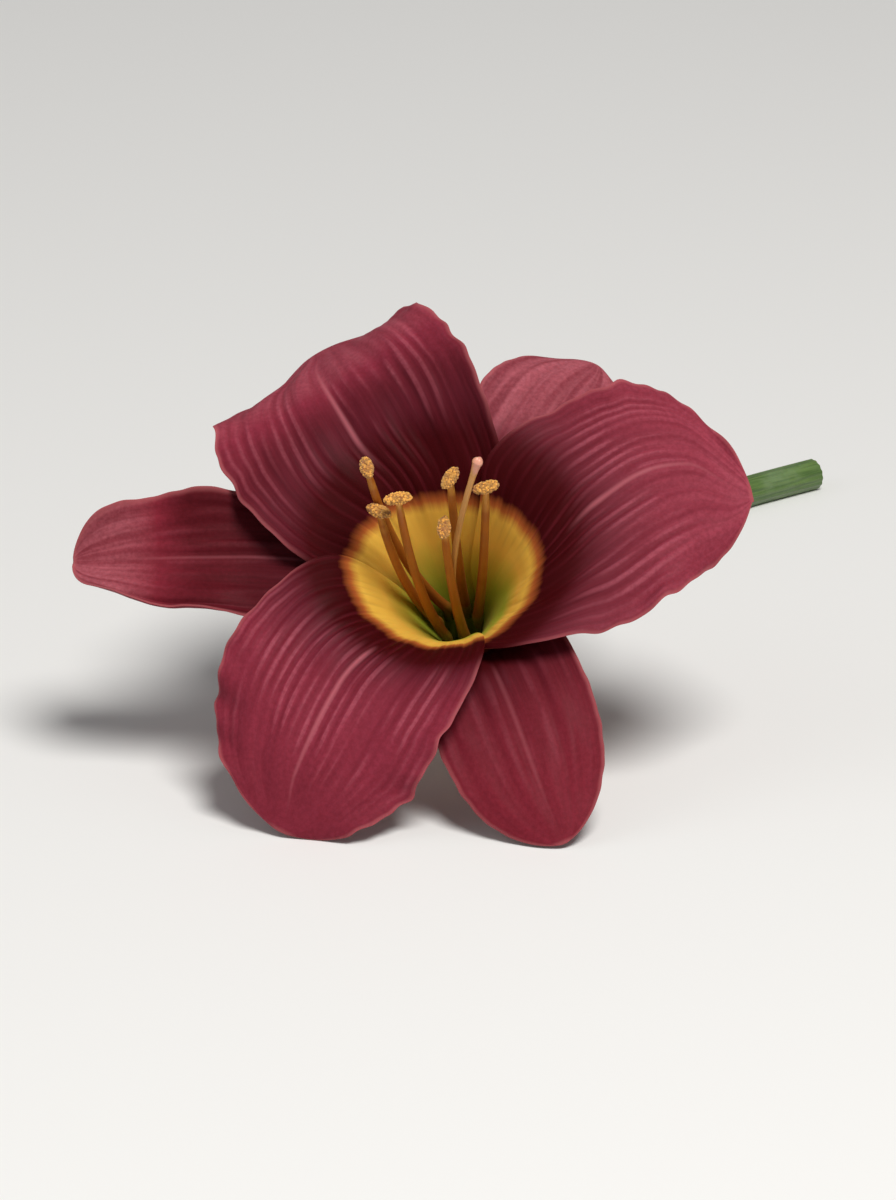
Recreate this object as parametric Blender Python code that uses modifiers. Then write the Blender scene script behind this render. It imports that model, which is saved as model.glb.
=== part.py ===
"""Daylily flower, as picked: one bloom with its tube, stamens and pistil, on a cut length of its stalk.

It lies on a surface at Z = 0. Two lower tepals and the stalk touch it, and the bloom faces -Y and up.
Units are metres. Run it in Blender's text editor, or with blender --background --python part.py.
"""

import math
from dataclasses import dataclass

import bmesh
import bpy
from mathutils import Matrix, Vector

MM = 0.001

# Where the bloom lies: the middle of the tube's foot, and how far its axis rises from the surface
TUBE_FOOT = Vector((4.9 * MM, -23.0 * MM, 5.4 * MM))
BLOOM_TILT_DEG = 43.0

# Tube: its outline from foot to rim as (radius, height), and the bore that holds the ovary
TUBE_OUTLINE = (
    (2.3 * MM, 0.0),
    (2.7 * MM, 0.8 * MM),
    (3.3 * MM, 2.7 * MM),
    (3.5 * MM, 5.7 * MM),
    (3.85 * MM, 9.1 * MM),
    (4.5 * MM, 12.9 * MM),
    (5.3 * MM, 16.3 * MM),
    (5.9 * MM, 19.0 * MM),
)
BORE_OUTLINE = ((1.5 * MM, 2.0 * MM), (2.2 * MM, 2.8 * MM))
TUBE_SIDES = 24

# Tepals
CLEARANCE = 0.3 * MM
TEPAL_THICKNESS = 0.7 * MM
PETAL_ROOT_RADIUS = 4.2 * MM
SEPAL_ROOT_RADIUS = 5.4 * MM
ROOT_HEIGHT = TUBE_OUTLINE[-1][1] + CLEARANCE
FUNNEL_LEAN_DEG = 16.0
MOUTH_LEAN_DEG = 30.0
MIDRIB_STEPS = 120
NARROWEST = 0.6 * MM
END_FULLNESS = 2.3  # above 2, the outline stays full for longer before it closes at the tip
TIP_CROWDING = 1.6  # above 1, rows lie closer together towards the tip
RIBS_ACROSS = 5

# In the funnel, a tepal's half width stays below this share of its distance from the axis
FUNNEL_SHARE = 1.0
FUNNEL_SHARE_GAIN = 0.15
LIMIT_SHARPNESS = 10

# Spans along a tepal, as shares of its length, over which each part of its form sets in or fades
TURN_SPAN = (-0.10, 0.14)  # from the tepal's own turn
LIMIT_SPAN = (0.0, 0.2)  # likewise
TIP_BEND_SPAN = (0.5, 1.0)
CUP_SPAN = (0.2, 0.6)
CURL_SPAN = (0.65, 1.0)
RUFFLE_SPAN = (0.30, 0.75)
RIB_SPAN = (0.15, 0.5)
RIB_FADE = (0.8, 1.0)
SKEW_SPAN = (0.35, 0.6)
SKEW_FADE = (0.85, 1.0)
UNROLL_SPAN = (0.45, 0.9)
SWING_SPAN = (0.3, 0.9)
END_START = 0.6

# Stamens
STAMEN_RING_RADIUS = 2.95 * MM
FILAMENT_ROOT_RADIUS = 0.63 * MM
FILAMENT_TIP_RADIUS = 0.44 * MM
FILAMENT_STEPS = 10
FILAMENT_SPREAD = Vector((1.6, 1.3))  # how far it first heads outwards, in ring radii
FILAMENT_SAG = 2.5 * MM
FILAMENT_AIM = 0.62  # share of its height where it bends up
ANTHER_SIZE = Vector((1.7 * MM, 1.4 * MM, 3.6 * MM))
ANTHER_SEGMENTS = 10
ANTHER_RINGS = 8
FURROW_DEPTH = 0.22
FURROW_WIDTH = 0.14

# Pistil: the ovary's outline as (share of its length, share of its radius), then style and stigma
OVARY_OUTLINE = ((0, 0.5), (0.12, 0.85), (0.45, 1.0), (0.8, 0.75), (1.0, 0.4))
OVARY_FOOT = BORE_OUTLINE[0][1] + CLEARANCE
OVARY_RADIUS = 1.6 * MM
OVARY_LENGTH = 8 * MM
STYLE_RADIUS = 0.45 * MM
STYLE_AIM = Vector((0.5, -2.5, 47.3)) * MM
STYLE_STEPS = 14
STIGMA_RADIUS = 0.8 * MM
STIGMA_AT = Vector((6.8, 8.1, 64)) * MM

# Stalk: pedicel from the tube's foot to a swollen joint, then scape to the cut end
PEDICEL_RADIUS = 1.8 * MM
PEDICEL_LENGTH = 13 * MM
SCAPE_RADIUS = 2.5 * MM
SCAPE_LENGTH = 104 * MM
SCAPE_SWING_DEG = 46.0
STALK_BEND_RADIUS = 13 * MM
STALK_STEP = 2.6 * MM
JOINT_SWELL = 0.25
JOINT_SPAN = 3 * MM
THICKEN_SPAN = (7.8 * MM, 14.3 * MM)
SETTLE_SPAN = (5 * MM, 13 * MM)
FLAT_DEPTH = 0.15 * MM
CUTTER_SIZE = (0.4, 0.4, 0.01)

# Bracts: which point of the stalk each clasps, its length, half width, and how far its tip stands off
BRACT_THICKNESS = 0.6 * MM
BRACT_COLUMNS = 8
BRACT_ROWS = 9
BRACT_FLARE = 0.6
BRACTS = (
    ("bract_upper", 9, 19 * MM, 4.6 * MM, 7 * MM),
    ("bract_lower", 30, 24 * MM, 4.0 * MM, 6 * MM),
)

MAROON = (0.25, 0.032, 0.052)
DEEP_MAROON = (0.19, 0.022, 0.034)
YELLOW_GREEN = (0.42, 0.36, 0.05)
GOLD = (0.62, 0.28, 0.03)
POLLEN = (0.55, 0.24, 0.05)
PALE = (0.72, 0.42, 0.22)
STALK_GREEN = (0.10, 0.20, 0.04)


@dataclass
class Tepal:
    """One petal or sepal. Angles are in degrees; the face's right is 0 and its top is 90."""

    name: str
    azimuth: float
    length: float
    half_width: float
    root_radius: float
    turn: float  # share of the length where it turns out of the funnel
    limb_lean: float  # how far the open part leans out from the bloom's axis
    tip_lean: float  # the same at the tip
    root_share: float  # of the half width, at the root
    widest: float  # share of the length where it is widest
    point: float  # above 0.5, the end is more pointed
    cup: float  # how far the edges rise towards the face, as a share of the half width
    curl: float  # the same at the tip, and negative where the edges turn back
    ruffle: float  # height of the waves in the edge
    waves: float
    phase: float
    pleat: float  # height of the lengthwise ribs
    swing: float  # how far the open part turns aside from the root's azimuth
    twist: float  # turn of the tip about the midrib
    skew: float  # how far the open part sits to one side of its midrib, as a share of the half width
    columns: int
    rows: int


PETAL_FORM = {
    "root_radius": PETAL_ROOT_RADIUS,
    "root_share": 0.5,
    "widest": 0.60,
    "point": 0.75,
    "ruffle": 2.1 * MM,
    "waves": 3.8,
    "pleat": 0.34 * MM,
    "columns": 18,
    "rows": 22,
}
SEPAL_FORM = {
    "root_radius": SEPAL_ROOT_RADIUS,
    "root_share": 0.6,
    "widest": 0.55,
    "point": 0.75,
    "ruffle": 0.9 * MM,
    "waves": 2.2,
    "pleat": 0.18 * MM,
    "columns": 10,
    "rows": 18,
}
TEPALS = (
    Tepal(
        name="petal_top", azimuth=121, length=59 * MM, half_width=21.5 * MM, turn=0.40, limb_lean=78,
        tip_lean=142, cup=0.26, curl=-0.10, phase=0.4, swing=2, twist=-4, skew=0.12, **PETAL_FORM,
    ),
    Tepal(
        name="petal_right", azimuth=1, length=58 * MM, half_width=21 * MM, turn=0.43, limb_lean=84,
        tip_lean=102, cup=0.06, curl=-0.12, phase=2.1, swing=15, twist=6, skew=0.16, **PETAL_FORM,
    ),
    Tepal(
        name="petal_lower_left", azimuth=241, length=59 * MM, half_width=19 * MM, turn=0.43, limb_lean=87,
        tip_lean=115, cup=0.04, curl=-0.16, phase=4.0, swing=3, twist=-6, skew=-0.12, **PETAL_FORM,
    ),
    Tepal(
        name="sepal_left", azimuth=181, length=64 * MM, half_width=11 * MM, turn=0.355, limb_lean=91,
        tip_lean=103, cup=0.14, curl=0.26, phase=1.0, swing=1, twist=0, skew=-0.06, **SEPAL_FORM,
    ),
    Tepal(
        name="sepal_upper_right", azimuth=61, length=50 * MM, half_width=11 * MM, turn=0.35, limb_lean=90,
        tip_lean=140, cup=-0.05, curl=-0.10, phase=2.5, swing=0, twist=0, skew=0, **SEPAL_FORM,
    ),
    Tepal(
        name="sepal_lower_right", azimuth=301, length=53.6 * MM, half_width=12.5 * MM, turn=0.38,
        limb_lean=86, tip_lean=104, cup=-0.02, curl=-0.08, phase=5.0, swing=-5, twist=0, skew=0, **SEPAL_FORM,
    ),
)

# Each stamen's azimuth on the ring, where its anther sits (right, up, along the axis), and its turn
STAMENS = (
    (20, Vector((6.8, 7.3, 53)) * MM, 35),
    (75, Vector((2.0, 6.9, 57)) * MM, 70),
    (130, Vector((-10.4, 8.3, 56)) * MM, 110),
    (185, Vector((-8.9, 4.0, 50)) * MM, 150),
    (240, Vector((-5.7, 4.4, 54)) * MM, 20),
    (300, Vector((1.0, 1.5, 51)) * MM, 95),
)


def smooth(value, low, high):
    """0 below low, 1 above high, and an even slope between them."""
    t = min(1.0, max(0.0, (value - low) / (high - low)))
    return t * t * (3 - 2 * t)


def lean_at(tepal, s):
    """Angle between the midrib and the bloom's axis, in radians."""
    funnel = FUNNEL_LEAN_DEG + (MOUTH_LEAN_DEG - FUNNEL_LEAN_DEG) * smooth(s, 0, tepal.turn)
    turned = funnel + (tepal.limb_lean - funnel) * smooth(s - tepal.turn, *TURN_SPAN)
    return math.radians(turned + (tepal.tip_lean - tepal.limb_lean) * smooth(s, *TIP_BEND_SPAN))


def midrib(tepal):
    """Points (radius, height, lean) along the midrib, root to tip."""
    radius, height = tepal.root_radius, ROOT_HEIGHT
    step = tepal.length / MIDRIB_STEPS
    points = []
    for i in range(MIDRIB_STEPS + 1):
        points.append((radius, height, lean_at(tepal, i / MIDRIB_STEPS)))
        middle = lean_at(tepal, (i + 0.5) / MIDRIB_STEPS)
        radius += step * math.sin(middle)
        height += step * math.cos(middle)
    return points


def half_width(tepal, s, radius):
    """Half the tepal's width at s, kept inside its share of the funnel."""
    rise = math.sin(math.pi / 2 * min(1.0, s / tepal.widest)) ** 2
    width = tepal.half_width * (tepal.root_share + (1 - tepal.root_share) * rise)
    if s > END_START:
        to_tip = (s - END_START) / (1 - END_START)
        width *= max(0.0, 1 - to_tip**END_FULLNESS) ** tepal.point
    width = max(width, NARROWEST)
    limit = radius * (FUNNEL_SHARE + FUNNEL_SHARE_GAIN * smooth(s - tepal.turn, *LIMIT_SPAN))
    return (width**-LIMIT_SHARPNESS + limit**-LIMIT_SHARPNESS) ** (-1 / LIMIT_SHARPNESS)


def relief(tepal, s, u, width):
    """Height of the surface above its flat cross-section, towards the face."""
    bow = tepal.cup * smooth(s, *CUP_SPAN) + (tepal.curl - tepal.cup) * smooth(s, *CURL_SPAN)
    shift = 0.9 if u > 0 else 0.0  # the two edges wave out of step
    wave = math.sin(2 * math.pi * tepal.waves * s + tepal.phase + shift)
    ruffle = tepal.ruffle * smooth(s, *RUFFLE_SPAN) * abs(u) ** 2.5 * wave
    rib_height = tepal.pleat * smooth(s, *RIB_SPAN) * (1 - smooth(s, *RIB_FADE)) * (1 - u**4)
    return bow * width * u * u + ruffle - rib_height * math.cos(RIBS_ACROSS * math.pi * u)


def tepal_point(tepal, spine, s, u):
    """A point of the tepal's middle surface: s runs from root to tip, and u from edge to edge."""
    place = s * MIDRIB_STEPS
    i = min(int(place), MIDRIB_STEPS - 1)
    share = place - i
    radius, height, lean = (a + (b - a) * share for a, b in zip(spine[i], spine[i + 1]))
    width = half_width(tepal, s, radius)
    lift = relief(tepal, s, u, width)
    out, rise = -math.cos(lean), math.sin(lean)
    aside = (u + tepal.skew * smooth(s, *SKEW_SPAN) * (1 - smooth(s, *SKEW_FADE))) * width

    # Near the root the blade wraps round the bloom's axis, and it unrolls into a flat cross-section outwards
    angle = aside / radius
    wrapped = Vector((
        (radius + lift * out) * math.cos(angle),
        (radius + lift * out) * math.sin(angle),
        height + lift * rise,
    ))
    turn = math.radians(tepal.twist) * s * s
    across = Vector((out * math.sin(turn), math.cos(turn), rise * math.sin(turn)))
    normal = Vector((out * math.cos(turn), -math.sin(turn), rise * math.cos(turn)))
    flat = Vector((radius, 0, height)) + across * aside + normal * lift
    point = wrapped.lerp(flat, smooth(s, *UNROLL_SPAN))
    azimuth = tepal.azimuth + tepal.swing * smooth(s, *SWING_SPAN)
    return Matrix.Rotation(math.radians(azimuth), 3, "Z") @ point


def finish_of(name, colour, roughness):
    material = bpy.data.materials.new(name)
    material.use_nodes = True
    shader = material.node_tree.nodes["Principled BSDF"]
    shader.inputs["Base Color"].default_value = (*colour, 1)
    shader.inputs["Roughness"].default_value = roughness
    shader.inputs["Metallic"].default_value = 0
    return material


def collection_named(name):
    collection = bpy.data.collections.new(name)
    bpy.context.scene.collection.children.link(collection)
    return collection


def object_from(bm, name, collection, material, parent=None):
    mesh = bpy.data.meshes.new(name)
    bm.to_mesh(mesh)
    bm.free()
    mesh.materials.append(material)
    mesh.shade_smooth()
    piece = bpy.data.objects.new(name, mesh)
    piece.parent = parent
    collection.objects.link(piece)
    return piece


def thicken(piece, thickness):
    """Turns a surface into a blade, half of its thickness on either side."""
    blade = piece.modifiers.new("blade", "SOLIDIFY")
    blade.thickness = thickness
    blade.offset = 0


def make_tepal(tepal, collection, bloom, material):
    spine = midrib(tepal)
    bm = bmesh.new()
    bmesh.ops.create_grid(bm, x_segments=tepal.columns, y_segments=tepal.rows, size=1)
    for vert in bm.verts:
        along = (vert.co.y + 1) / 2
        s = 1 - (1 - along) ** TIP_CROWDING
        vert.co = tepal_point(tepal, spine, s, vert.co.x)
    bmesh.ops.triangulate(bm, faces=bm.faces)
    piece = object_from(bm, tepal.name, collection, material, bloom)
    thicken(piece, TEPAL_THICKNESS)


def make_tube(collection, bloom, material):
    """A turned tube, closed at its foot, whose rim carries the tepals and stamens."""
    foot, rim = TUBE_OUTLINE[0], TUBE_OUTLINE[-1]
    bore_floor, bore_side = BORE_OUTLINE
    inside = [(0, bore_floor[1]), bore_floor, bore_side, (bore_side[0], rim[1])]
    outside = list(reversed(TUBE_OUTLINE))
    bm = bmesh.new()
    verts = [bm.verts.new((radius, 0, height)) for radius, height in inside + outside + [(0, foot[1])]]
    for a, b in zip(verts, verts[1:]):
        bm.edges.new((a, b))
    piece = object_from(bm, "perianth_tube", collection, material, bloom)
    turned = piece.modifiers.new("turned", "SCREW")
    turned.steps = TUBE_SIDES
    turned.render_steps = TUBE_SIDES
    turned.use_merge_vertices = True
    turned.merge_threshold = 0.01 * MM


def curve_through(points, radii, name, collection, material, parent=None, sides=2):
    """A round rod along the points, with its own radius at each of them."""
    curve = bpy.data.curves.new(name, "CURVE")
    curve.dimensions = "3D"
    curve.bevel_depth = 1.0
    curve.bevel_resolution = sides
    curve.use_fill_caps = True
    spline = curve.splines.new("POLY")
    spline.points.add(len(points) - 1)
    for spot, point, radius in zip(spline.points, points, radii):
        spot.co = (*point, 1)
        spot.radius = radius
    curve.materials.append(material)
    piece = bpy.data.objects.new(name, curve)
    piece.parent = parent
    collection.objects.link(piece)
    return piece


def arc_path(start, aim, end, count):
    """Points of the smooth curve that leaves start towards aim and ends at end."""
    points = []
    for i in range(count + 1):
        t = i / count
        points.append(start * (1 - t) ** 2 + aim * (2 * t * (1 - t)) + end * t * t)
    return points


def filament_path(azimuth, tip):
    spoke = Vector((math.cos(math.radians(azimuth)), math.sin(math.radians(azimuth)), 0))
    root = spoke * STAMEN_RING_RADIUS + Vector((0, 0, ROOT_HEIGHT))
    aim = Vector((
        root.x * FILAMENT_SPREAD.x,
        root.y * FILAMENT_SPREAD.y - FILAMENT_SAG,
        ROOT_HEIGHT + FILAMENT_AIM * (tip.z - ROOT_HEIGHT),
    ))
    return arc_path(root, aim, tip, FILAMENT_STEPS)


def make_stamen(number, azimuth, tip, turn_deg, collection, bloom, filament_finish, anther_finish):
    """A tapering filament out of the throat, with its anther across the tip."""
    path = filament_path(azimuth, tip)
    taper = (FILAMENT_TIP_RADIUS - FILAMENT_ROOT_RADIUS) / FILAMENT_STEPS
    radii = [FILAMENT_ROOT_RADIUS + taper * i for i in range(FILAMENT_STEPS + 1)]
    curve_through(path, radii, f"filament_{number}", collection, filament_finish, bloom)

    ahead = (path[-1] - path[-2]).normalized()
    side = Vector((math.cos(math.radians(turn_deg)), math.sin(math.radians(turn_deg)), 0.25))
    long_way = (side - ahead * side.dot(ahead)).normalized()
    bm = bmesh.new()
    bmesh.ops.create_uvsphere(bm, u_segments=ANTHER_SEGMENTS, v_segments=ANTHER_RINGS, radius=0.5)
    for vert in bm.verts:
        furrow = 1 - FURROW_DEPTH * math.exp(-((vert.co.x / FURROW_WIDTH) ** 2))
        vert.co = Vector((
            vert.co.x * ANTHER_SIZE.x,
            vert.co.y * ANTHER_SIZE.y * furrow,
            vert.co.z * ANTHER_SIZE.z,
        ))
    anther = object_from(bm, f"anther_{number}", collection, anther_finish, bloom)
    anther.location = tip + ahead * (ANTHER_SIZE.y / 2 + CLEARANCE)
    anther.rotation_euler = Matrix((ahead.cross(long_way), ahead, long_way)).transposed().to_euler()


def make_pistil(collection, bloom, material):
    """Ovary, style and stigma, grown as one piece up through the tube."""
    points = [Vector((0, 0, OVARY_FOOT + along * OVARY_LENGTH)) for along, _ in OVARY_OUTLINE]
    radii = [OVARY_RADIUS * size for _, size in OVARY_OUTLINE]
    style = arc_path(Vector((0, 0, ROOT_HEIGHT)), STYLE_AIM, STIGMA_AT, STYLE_STEPS)
    points += style
    radii += [STYLE_RADIUS] * (len(style) - 2) + [STIGMA_RADIUS * 0.8, STIGMA_RADIUS]
    curve_through(points, radii, "pistil", collection, material, bloom)


def stalk_path():
    """Points and radii of the pedicel and scape, from the tube's foot to the cut end, lying on the surface."""
    tilt = math.radians(BLOOM_TILT_DEG)
    point = TUBE_FOOT + Vector((0, math.cos(tilt), -math.sin(tilt))) * CLEARANCE
    total = PEDICEL_LENGTH + SCAPE_LENGTH
    count = round(total / STALK_STEP)
    step = total / count
    points, radii = [], []
    for i in range(count + 1):
        along = i * step
        radius = PEDICEL_RADIUS + (SCAPE_RADIUS - PEDICEL_RADIUS) * smooth(along, *THICKEN_SPAN)
        radius *= 1 + JOINT_SWELL * math.exp(-((along - PEDICEL_LENGTH) / JOINT_SPAN) ** 2)
        radius += (TUBE_OUTLINE[0][0] - PEDICEL_RADIUS) * (1 - smooth(along, 0, JOINT_SPAN))
        points.append(point.copy())
        radii.append(radius)
        dip = tilt * max(0.0, 1 - along / (STALK_BEND_RADIUS * tilt))
        swing = math.radians(SCAPE_SWING_DEG) * smooth(along, 0, total)
        heading = Vector((
            math.sin(swing) * math.cos(dip),
            math.cos(swing) * math.cos(dip),
            -math.sin(dip),
        ))
        point = point + heading * step
    # Past the bend, the stalk's underside is a hair below the surface, and is cut flat there
    for i, (spot, radius) in enumerate(zip(points, radii)):
        spot.z += (radius - FLAT_DEPTH - spot.z) * smooth(i * step, *SETTLE_SPAN)
    return points, radii


def make_stalk(points, radii, collection, cutters, material):
    rod = curve_through(points, radii, "stalk_rod", collection, material, sides=3)
    bpy.context.view_layer.update()
    graph = bpy.context.evaluated_depsgraph_get()
    mesh = bpy.data.meshes.new_from_object(rod.evaluated_get(graph))
    bm = bmesh.new()
    bm.from_mesh(mesh)
    bmesh.ops.remove_doubles(bm, verts=bm.verts, dist=0.01 * MM)
    bpy.data.objects.remove(rod)
    stalk = object_from(bm, "stalk", collection, material)
    slab = bmesh.new()
    bmesh.ops.create_cube(slab, size=1)
    bmesh.ops.scale(slab, vec=CUTTER_SIZE, verts=slab.verts)
    bmesh.ops.translate(slab, vec=(0, 0, -CUTTER_SIZE[2] / 2), verts=slab.verts)
    floor = object_from(slab, "floor_cutter", cutters, material)
    floor.hide_render = True
    floor.display_type = "WIRE"
    flat = stalk.modifiers.new("flat", "BOOLEAN")
    flat.operation = "DIFFERENCE"
    flat.solver = "EXACT"
    flat.object = floor


def make_bract(name, base, radius, along, length, breadth, spread, collection, material):
    """A small leaf that clasps the stalk's upper side at base and curves away from it, towards the bloom."""
    inner = radius + CLEARANCE + BRACT_THICKNESS / 2
    side = Vector((0, 0, 1)).cross(along).normalized()
    up = along.cross(side)
    bm = bmesh.new()
    bmesh.ops.create_grid(bm, x_segments=BRACT_COLUMNS, y_segments=BRACT_ROWS, size=1)
    for vert in bm.verts:
        u, s = vert.co.x, (vert.co.y + 1) / 2
        width = breadth * (0.8 + 0.2 * math.sin(math.pi * s)) * max(0.05, 1 - s**2.6) ** 0.75
        hollow = inner * (1 + BRACT_FLARE * s)
        wrap = u * width / hollow
        lift = inner + spread * s**2.2 - hollow * (1 - math.cos(wrap))
        vert.co = base + along * (length * s) + side * (math.sin(wrap) * hollow) + up * lift
    bmesh.ops.triangulate(bm, faces=bm.faces)
    piece = object_from(bm, name, collection, material)
    thicken(piece, BRACT_THICKNESS)


def main():
    for old in list(bpy.data.objects):
        bpy.data.objects.remove(old)
    collection = collection_named("daylily_flower")
    cutters = collection_named("cutters")

    petals = finish_of("petal", MAROON, 0.55)
    sepals = finish_of("sepal", DEEP_MAROON, 0.5)
    throat = finish_of("tube", YELLOW_GREEN, 0.45)
    gold = finish_of("filament", GOLD, 0.45)
    pollen = finish_of("anther", POLLEN, 0.8)
    pale = finish_of("pistil", PALE, 0.4)
    green = finish_of("stalk", STALK_GREEN, 0.45)

    bloom = bpy.data.objects.new("bloom", None)
    bloom.location = TUBE_FOOT
    bloom.rotation_euler = (math.radians(90 - BLOOM_TILT_DEG), 0, 0)
    collection.objects.link(bloom)

    for tepal in TEPALS:
        inner = tepal.root_radius == PETAL_ROOT_RADIUS
        make_tepal(tepal, collection, bloom, petals if inner else sepals)
    make_tube(collection, bloom, throat)
    for number, (azimuth, tip, turn) in enumerate(STAMENS, start=1):
        make_stamen(number, azimuth, tip, turn, collection, bloom, gold, pollen)
    make_pistil(collection, bloom, pale)

    points, radii = stalk_path()
    make_stalk(points, radii, collection, cutters, green)
    for name, index, length, breadth, spread in BRACTS:
        along = (points[index - 1] - points[index + 1]).normalized()
        make_bract(name, points[index], radii[index], along, length, breadth, spread, collection, green)


main()
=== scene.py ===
"""Daylily flower, as picked: the finished bloom on its cut stalk, and a plain studio.

Laid out as a Blender add-on and run as a script. Units are metres, +Z is up, and the bloom faces -Y and up.
"""

import math
from dataclasses import dataclass

import bmesh
import bpy
import numpy as np
from bpy.props import FloatProperty, FloatVectorProperty, IntProperty, PointerProperty
from mathutils import Matrix, Vector


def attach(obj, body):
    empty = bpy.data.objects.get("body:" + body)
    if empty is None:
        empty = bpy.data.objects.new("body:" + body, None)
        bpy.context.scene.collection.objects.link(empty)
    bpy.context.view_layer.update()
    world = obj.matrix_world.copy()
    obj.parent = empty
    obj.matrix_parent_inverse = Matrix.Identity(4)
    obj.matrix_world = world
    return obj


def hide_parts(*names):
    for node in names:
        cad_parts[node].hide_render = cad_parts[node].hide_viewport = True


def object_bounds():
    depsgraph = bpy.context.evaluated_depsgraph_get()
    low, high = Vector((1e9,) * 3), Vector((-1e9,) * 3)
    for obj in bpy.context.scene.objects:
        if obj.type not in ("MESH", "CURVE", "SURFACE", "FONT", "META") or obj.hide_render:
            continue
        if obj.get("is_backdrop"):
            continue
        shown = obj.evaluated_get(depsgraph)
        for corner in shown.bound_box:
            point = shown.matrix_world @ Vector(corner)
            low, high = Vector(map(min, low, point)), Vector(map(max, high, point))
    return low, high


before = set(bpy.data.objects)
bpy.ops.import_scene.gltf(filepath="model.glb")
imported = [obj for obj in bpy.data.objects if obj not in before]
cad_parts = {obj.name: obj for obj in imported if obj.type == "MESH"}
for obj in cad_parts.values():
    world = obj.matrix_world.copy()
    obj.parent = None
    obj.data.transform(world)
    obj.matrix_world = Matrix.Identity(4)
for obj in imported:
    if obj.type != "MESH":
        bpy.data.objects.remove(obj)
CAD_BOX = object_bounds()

bl_info = {
    "name": "Daylily flower",
    "version": (1, 0, 0),
    "blender": (4, 5, 0),
    "location": "View3D > Sidebar > Daylily",
    "description": "Builds a picked daylily bloom with its stalk, and a plain studio round it",
    "category": "Object",
}

MM = 0.001
BODY = "root"

# The bloom's place, shared with the solids
TUBE_FOOT = Vector((4.9 * MM, -23.0 * MM, 5.4 * MM))
BLOOM_TILT_DEG = 43.0
BLOOM = Matrix.Translation(TUBE_FOOT) @ Matrix.Rotation(math.radians(90 - BLOOM_TILT_DEG), 4, "X")

CLEARANCE = 0.3 * MM
PETAL_ROOT_RADIUS = 4.2 * MM
SEPAL_ROOT_RADIUS = 5.4 * MM
ROOT_HEIGHT = 19.3 * MM
FUNNEL_LEAN_DEG = 16.0
MOUTH_LEAN_DEG = 30.0
MIDRIB_STEPS = 120
NARROWEST = 0.6 * MM
END_FULLNESS = 2.3
RIBS_ACROSS = 5
ROOT_SHARE = 1.03
LIMIT_SHARPNESS = 10

# Spans along a tepal, as shares of its length, over which each part of its form sets in or fades
TURN_SPAN = (-0.10, 0.14)
SHARE_SPAN = (0.02, 0.16)
GAIN_SPAN = (0.0, 0.2)
TIP_BEND_SPAN = (0.5, 1.0)
CUP_SPAN = (0.42, 0.72)
CURL_SPAN = (0.55, 1.0)
RUFFLE_SPAN = (0.45, 0.78)
RUFFLE_WIDTHS = (0.0, 0.55)  # the same, as shares of the widest half width: a narrow tip has no ruffle
RIB_SPAN = (0.15, 0.5)
RIB_FADE = (0.8, 1.0)
SKEW_SPAN = (0.35, 0.6)
SKEW_FADE = (0.85, 1.0)
UNROLL_SPAN = (0.45, 0.9)
SWING_SPAN = (0.3, 0.9)
CREASE_SPAN = (0.42, 0.70)
CREASE_FADE = (0.65, 0.95)
LIP_SPAN = (0.50, 0.70)
LIP_FADE = (0.84, 0.96)
LAP = 0.50 * MM
LAP_SPAN = (0.0, 0.10)
LAP_FADE = (0.20, 0.34)
END_START = 0.6
SIDE_BLEND = (-0.5, 0.5)  # where, across a tepal, the end's form on one side passes into the other's
# What a tepal's edge does beyond its own form: the side where u is above 0 is a little out of step with the other
EDGE_SHIFT = 0.9
RUFFLE_POWER = 2.5
CRIMP_POWER = 6
BEAT = {"mean": 0.55, "swing": 0.45, "rate": 7.3, "phase": 2.1, "shift": 2.2}  # how the ripple's height comes and goes
CRIMP_PHASE = 3
NOTCH_START = (2.7, 2.0)  # how far the notches are shifted by the tepal's phase, and on the one side
NOTCH_WAVES = ((0.28, 11.3, 1.0), (0.22, 19.7, 1.7))  # depth, number along the edge and share of that shift
CREASE_ROUNDING = 0.003  # how soft the crease along the midrib is, and how far it is sunk to meet the blade there
CREASE_SINK = 0.055
LIP_EDGE = (0.86, 1.0)
LIP_GROOVE = (0.6, 0.8, 0.07)  # depth against the lip's height, place across the blade and width
ROW_CROWDING = 1.35  # how much closer together the rows stand at the end of a blade


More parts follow.
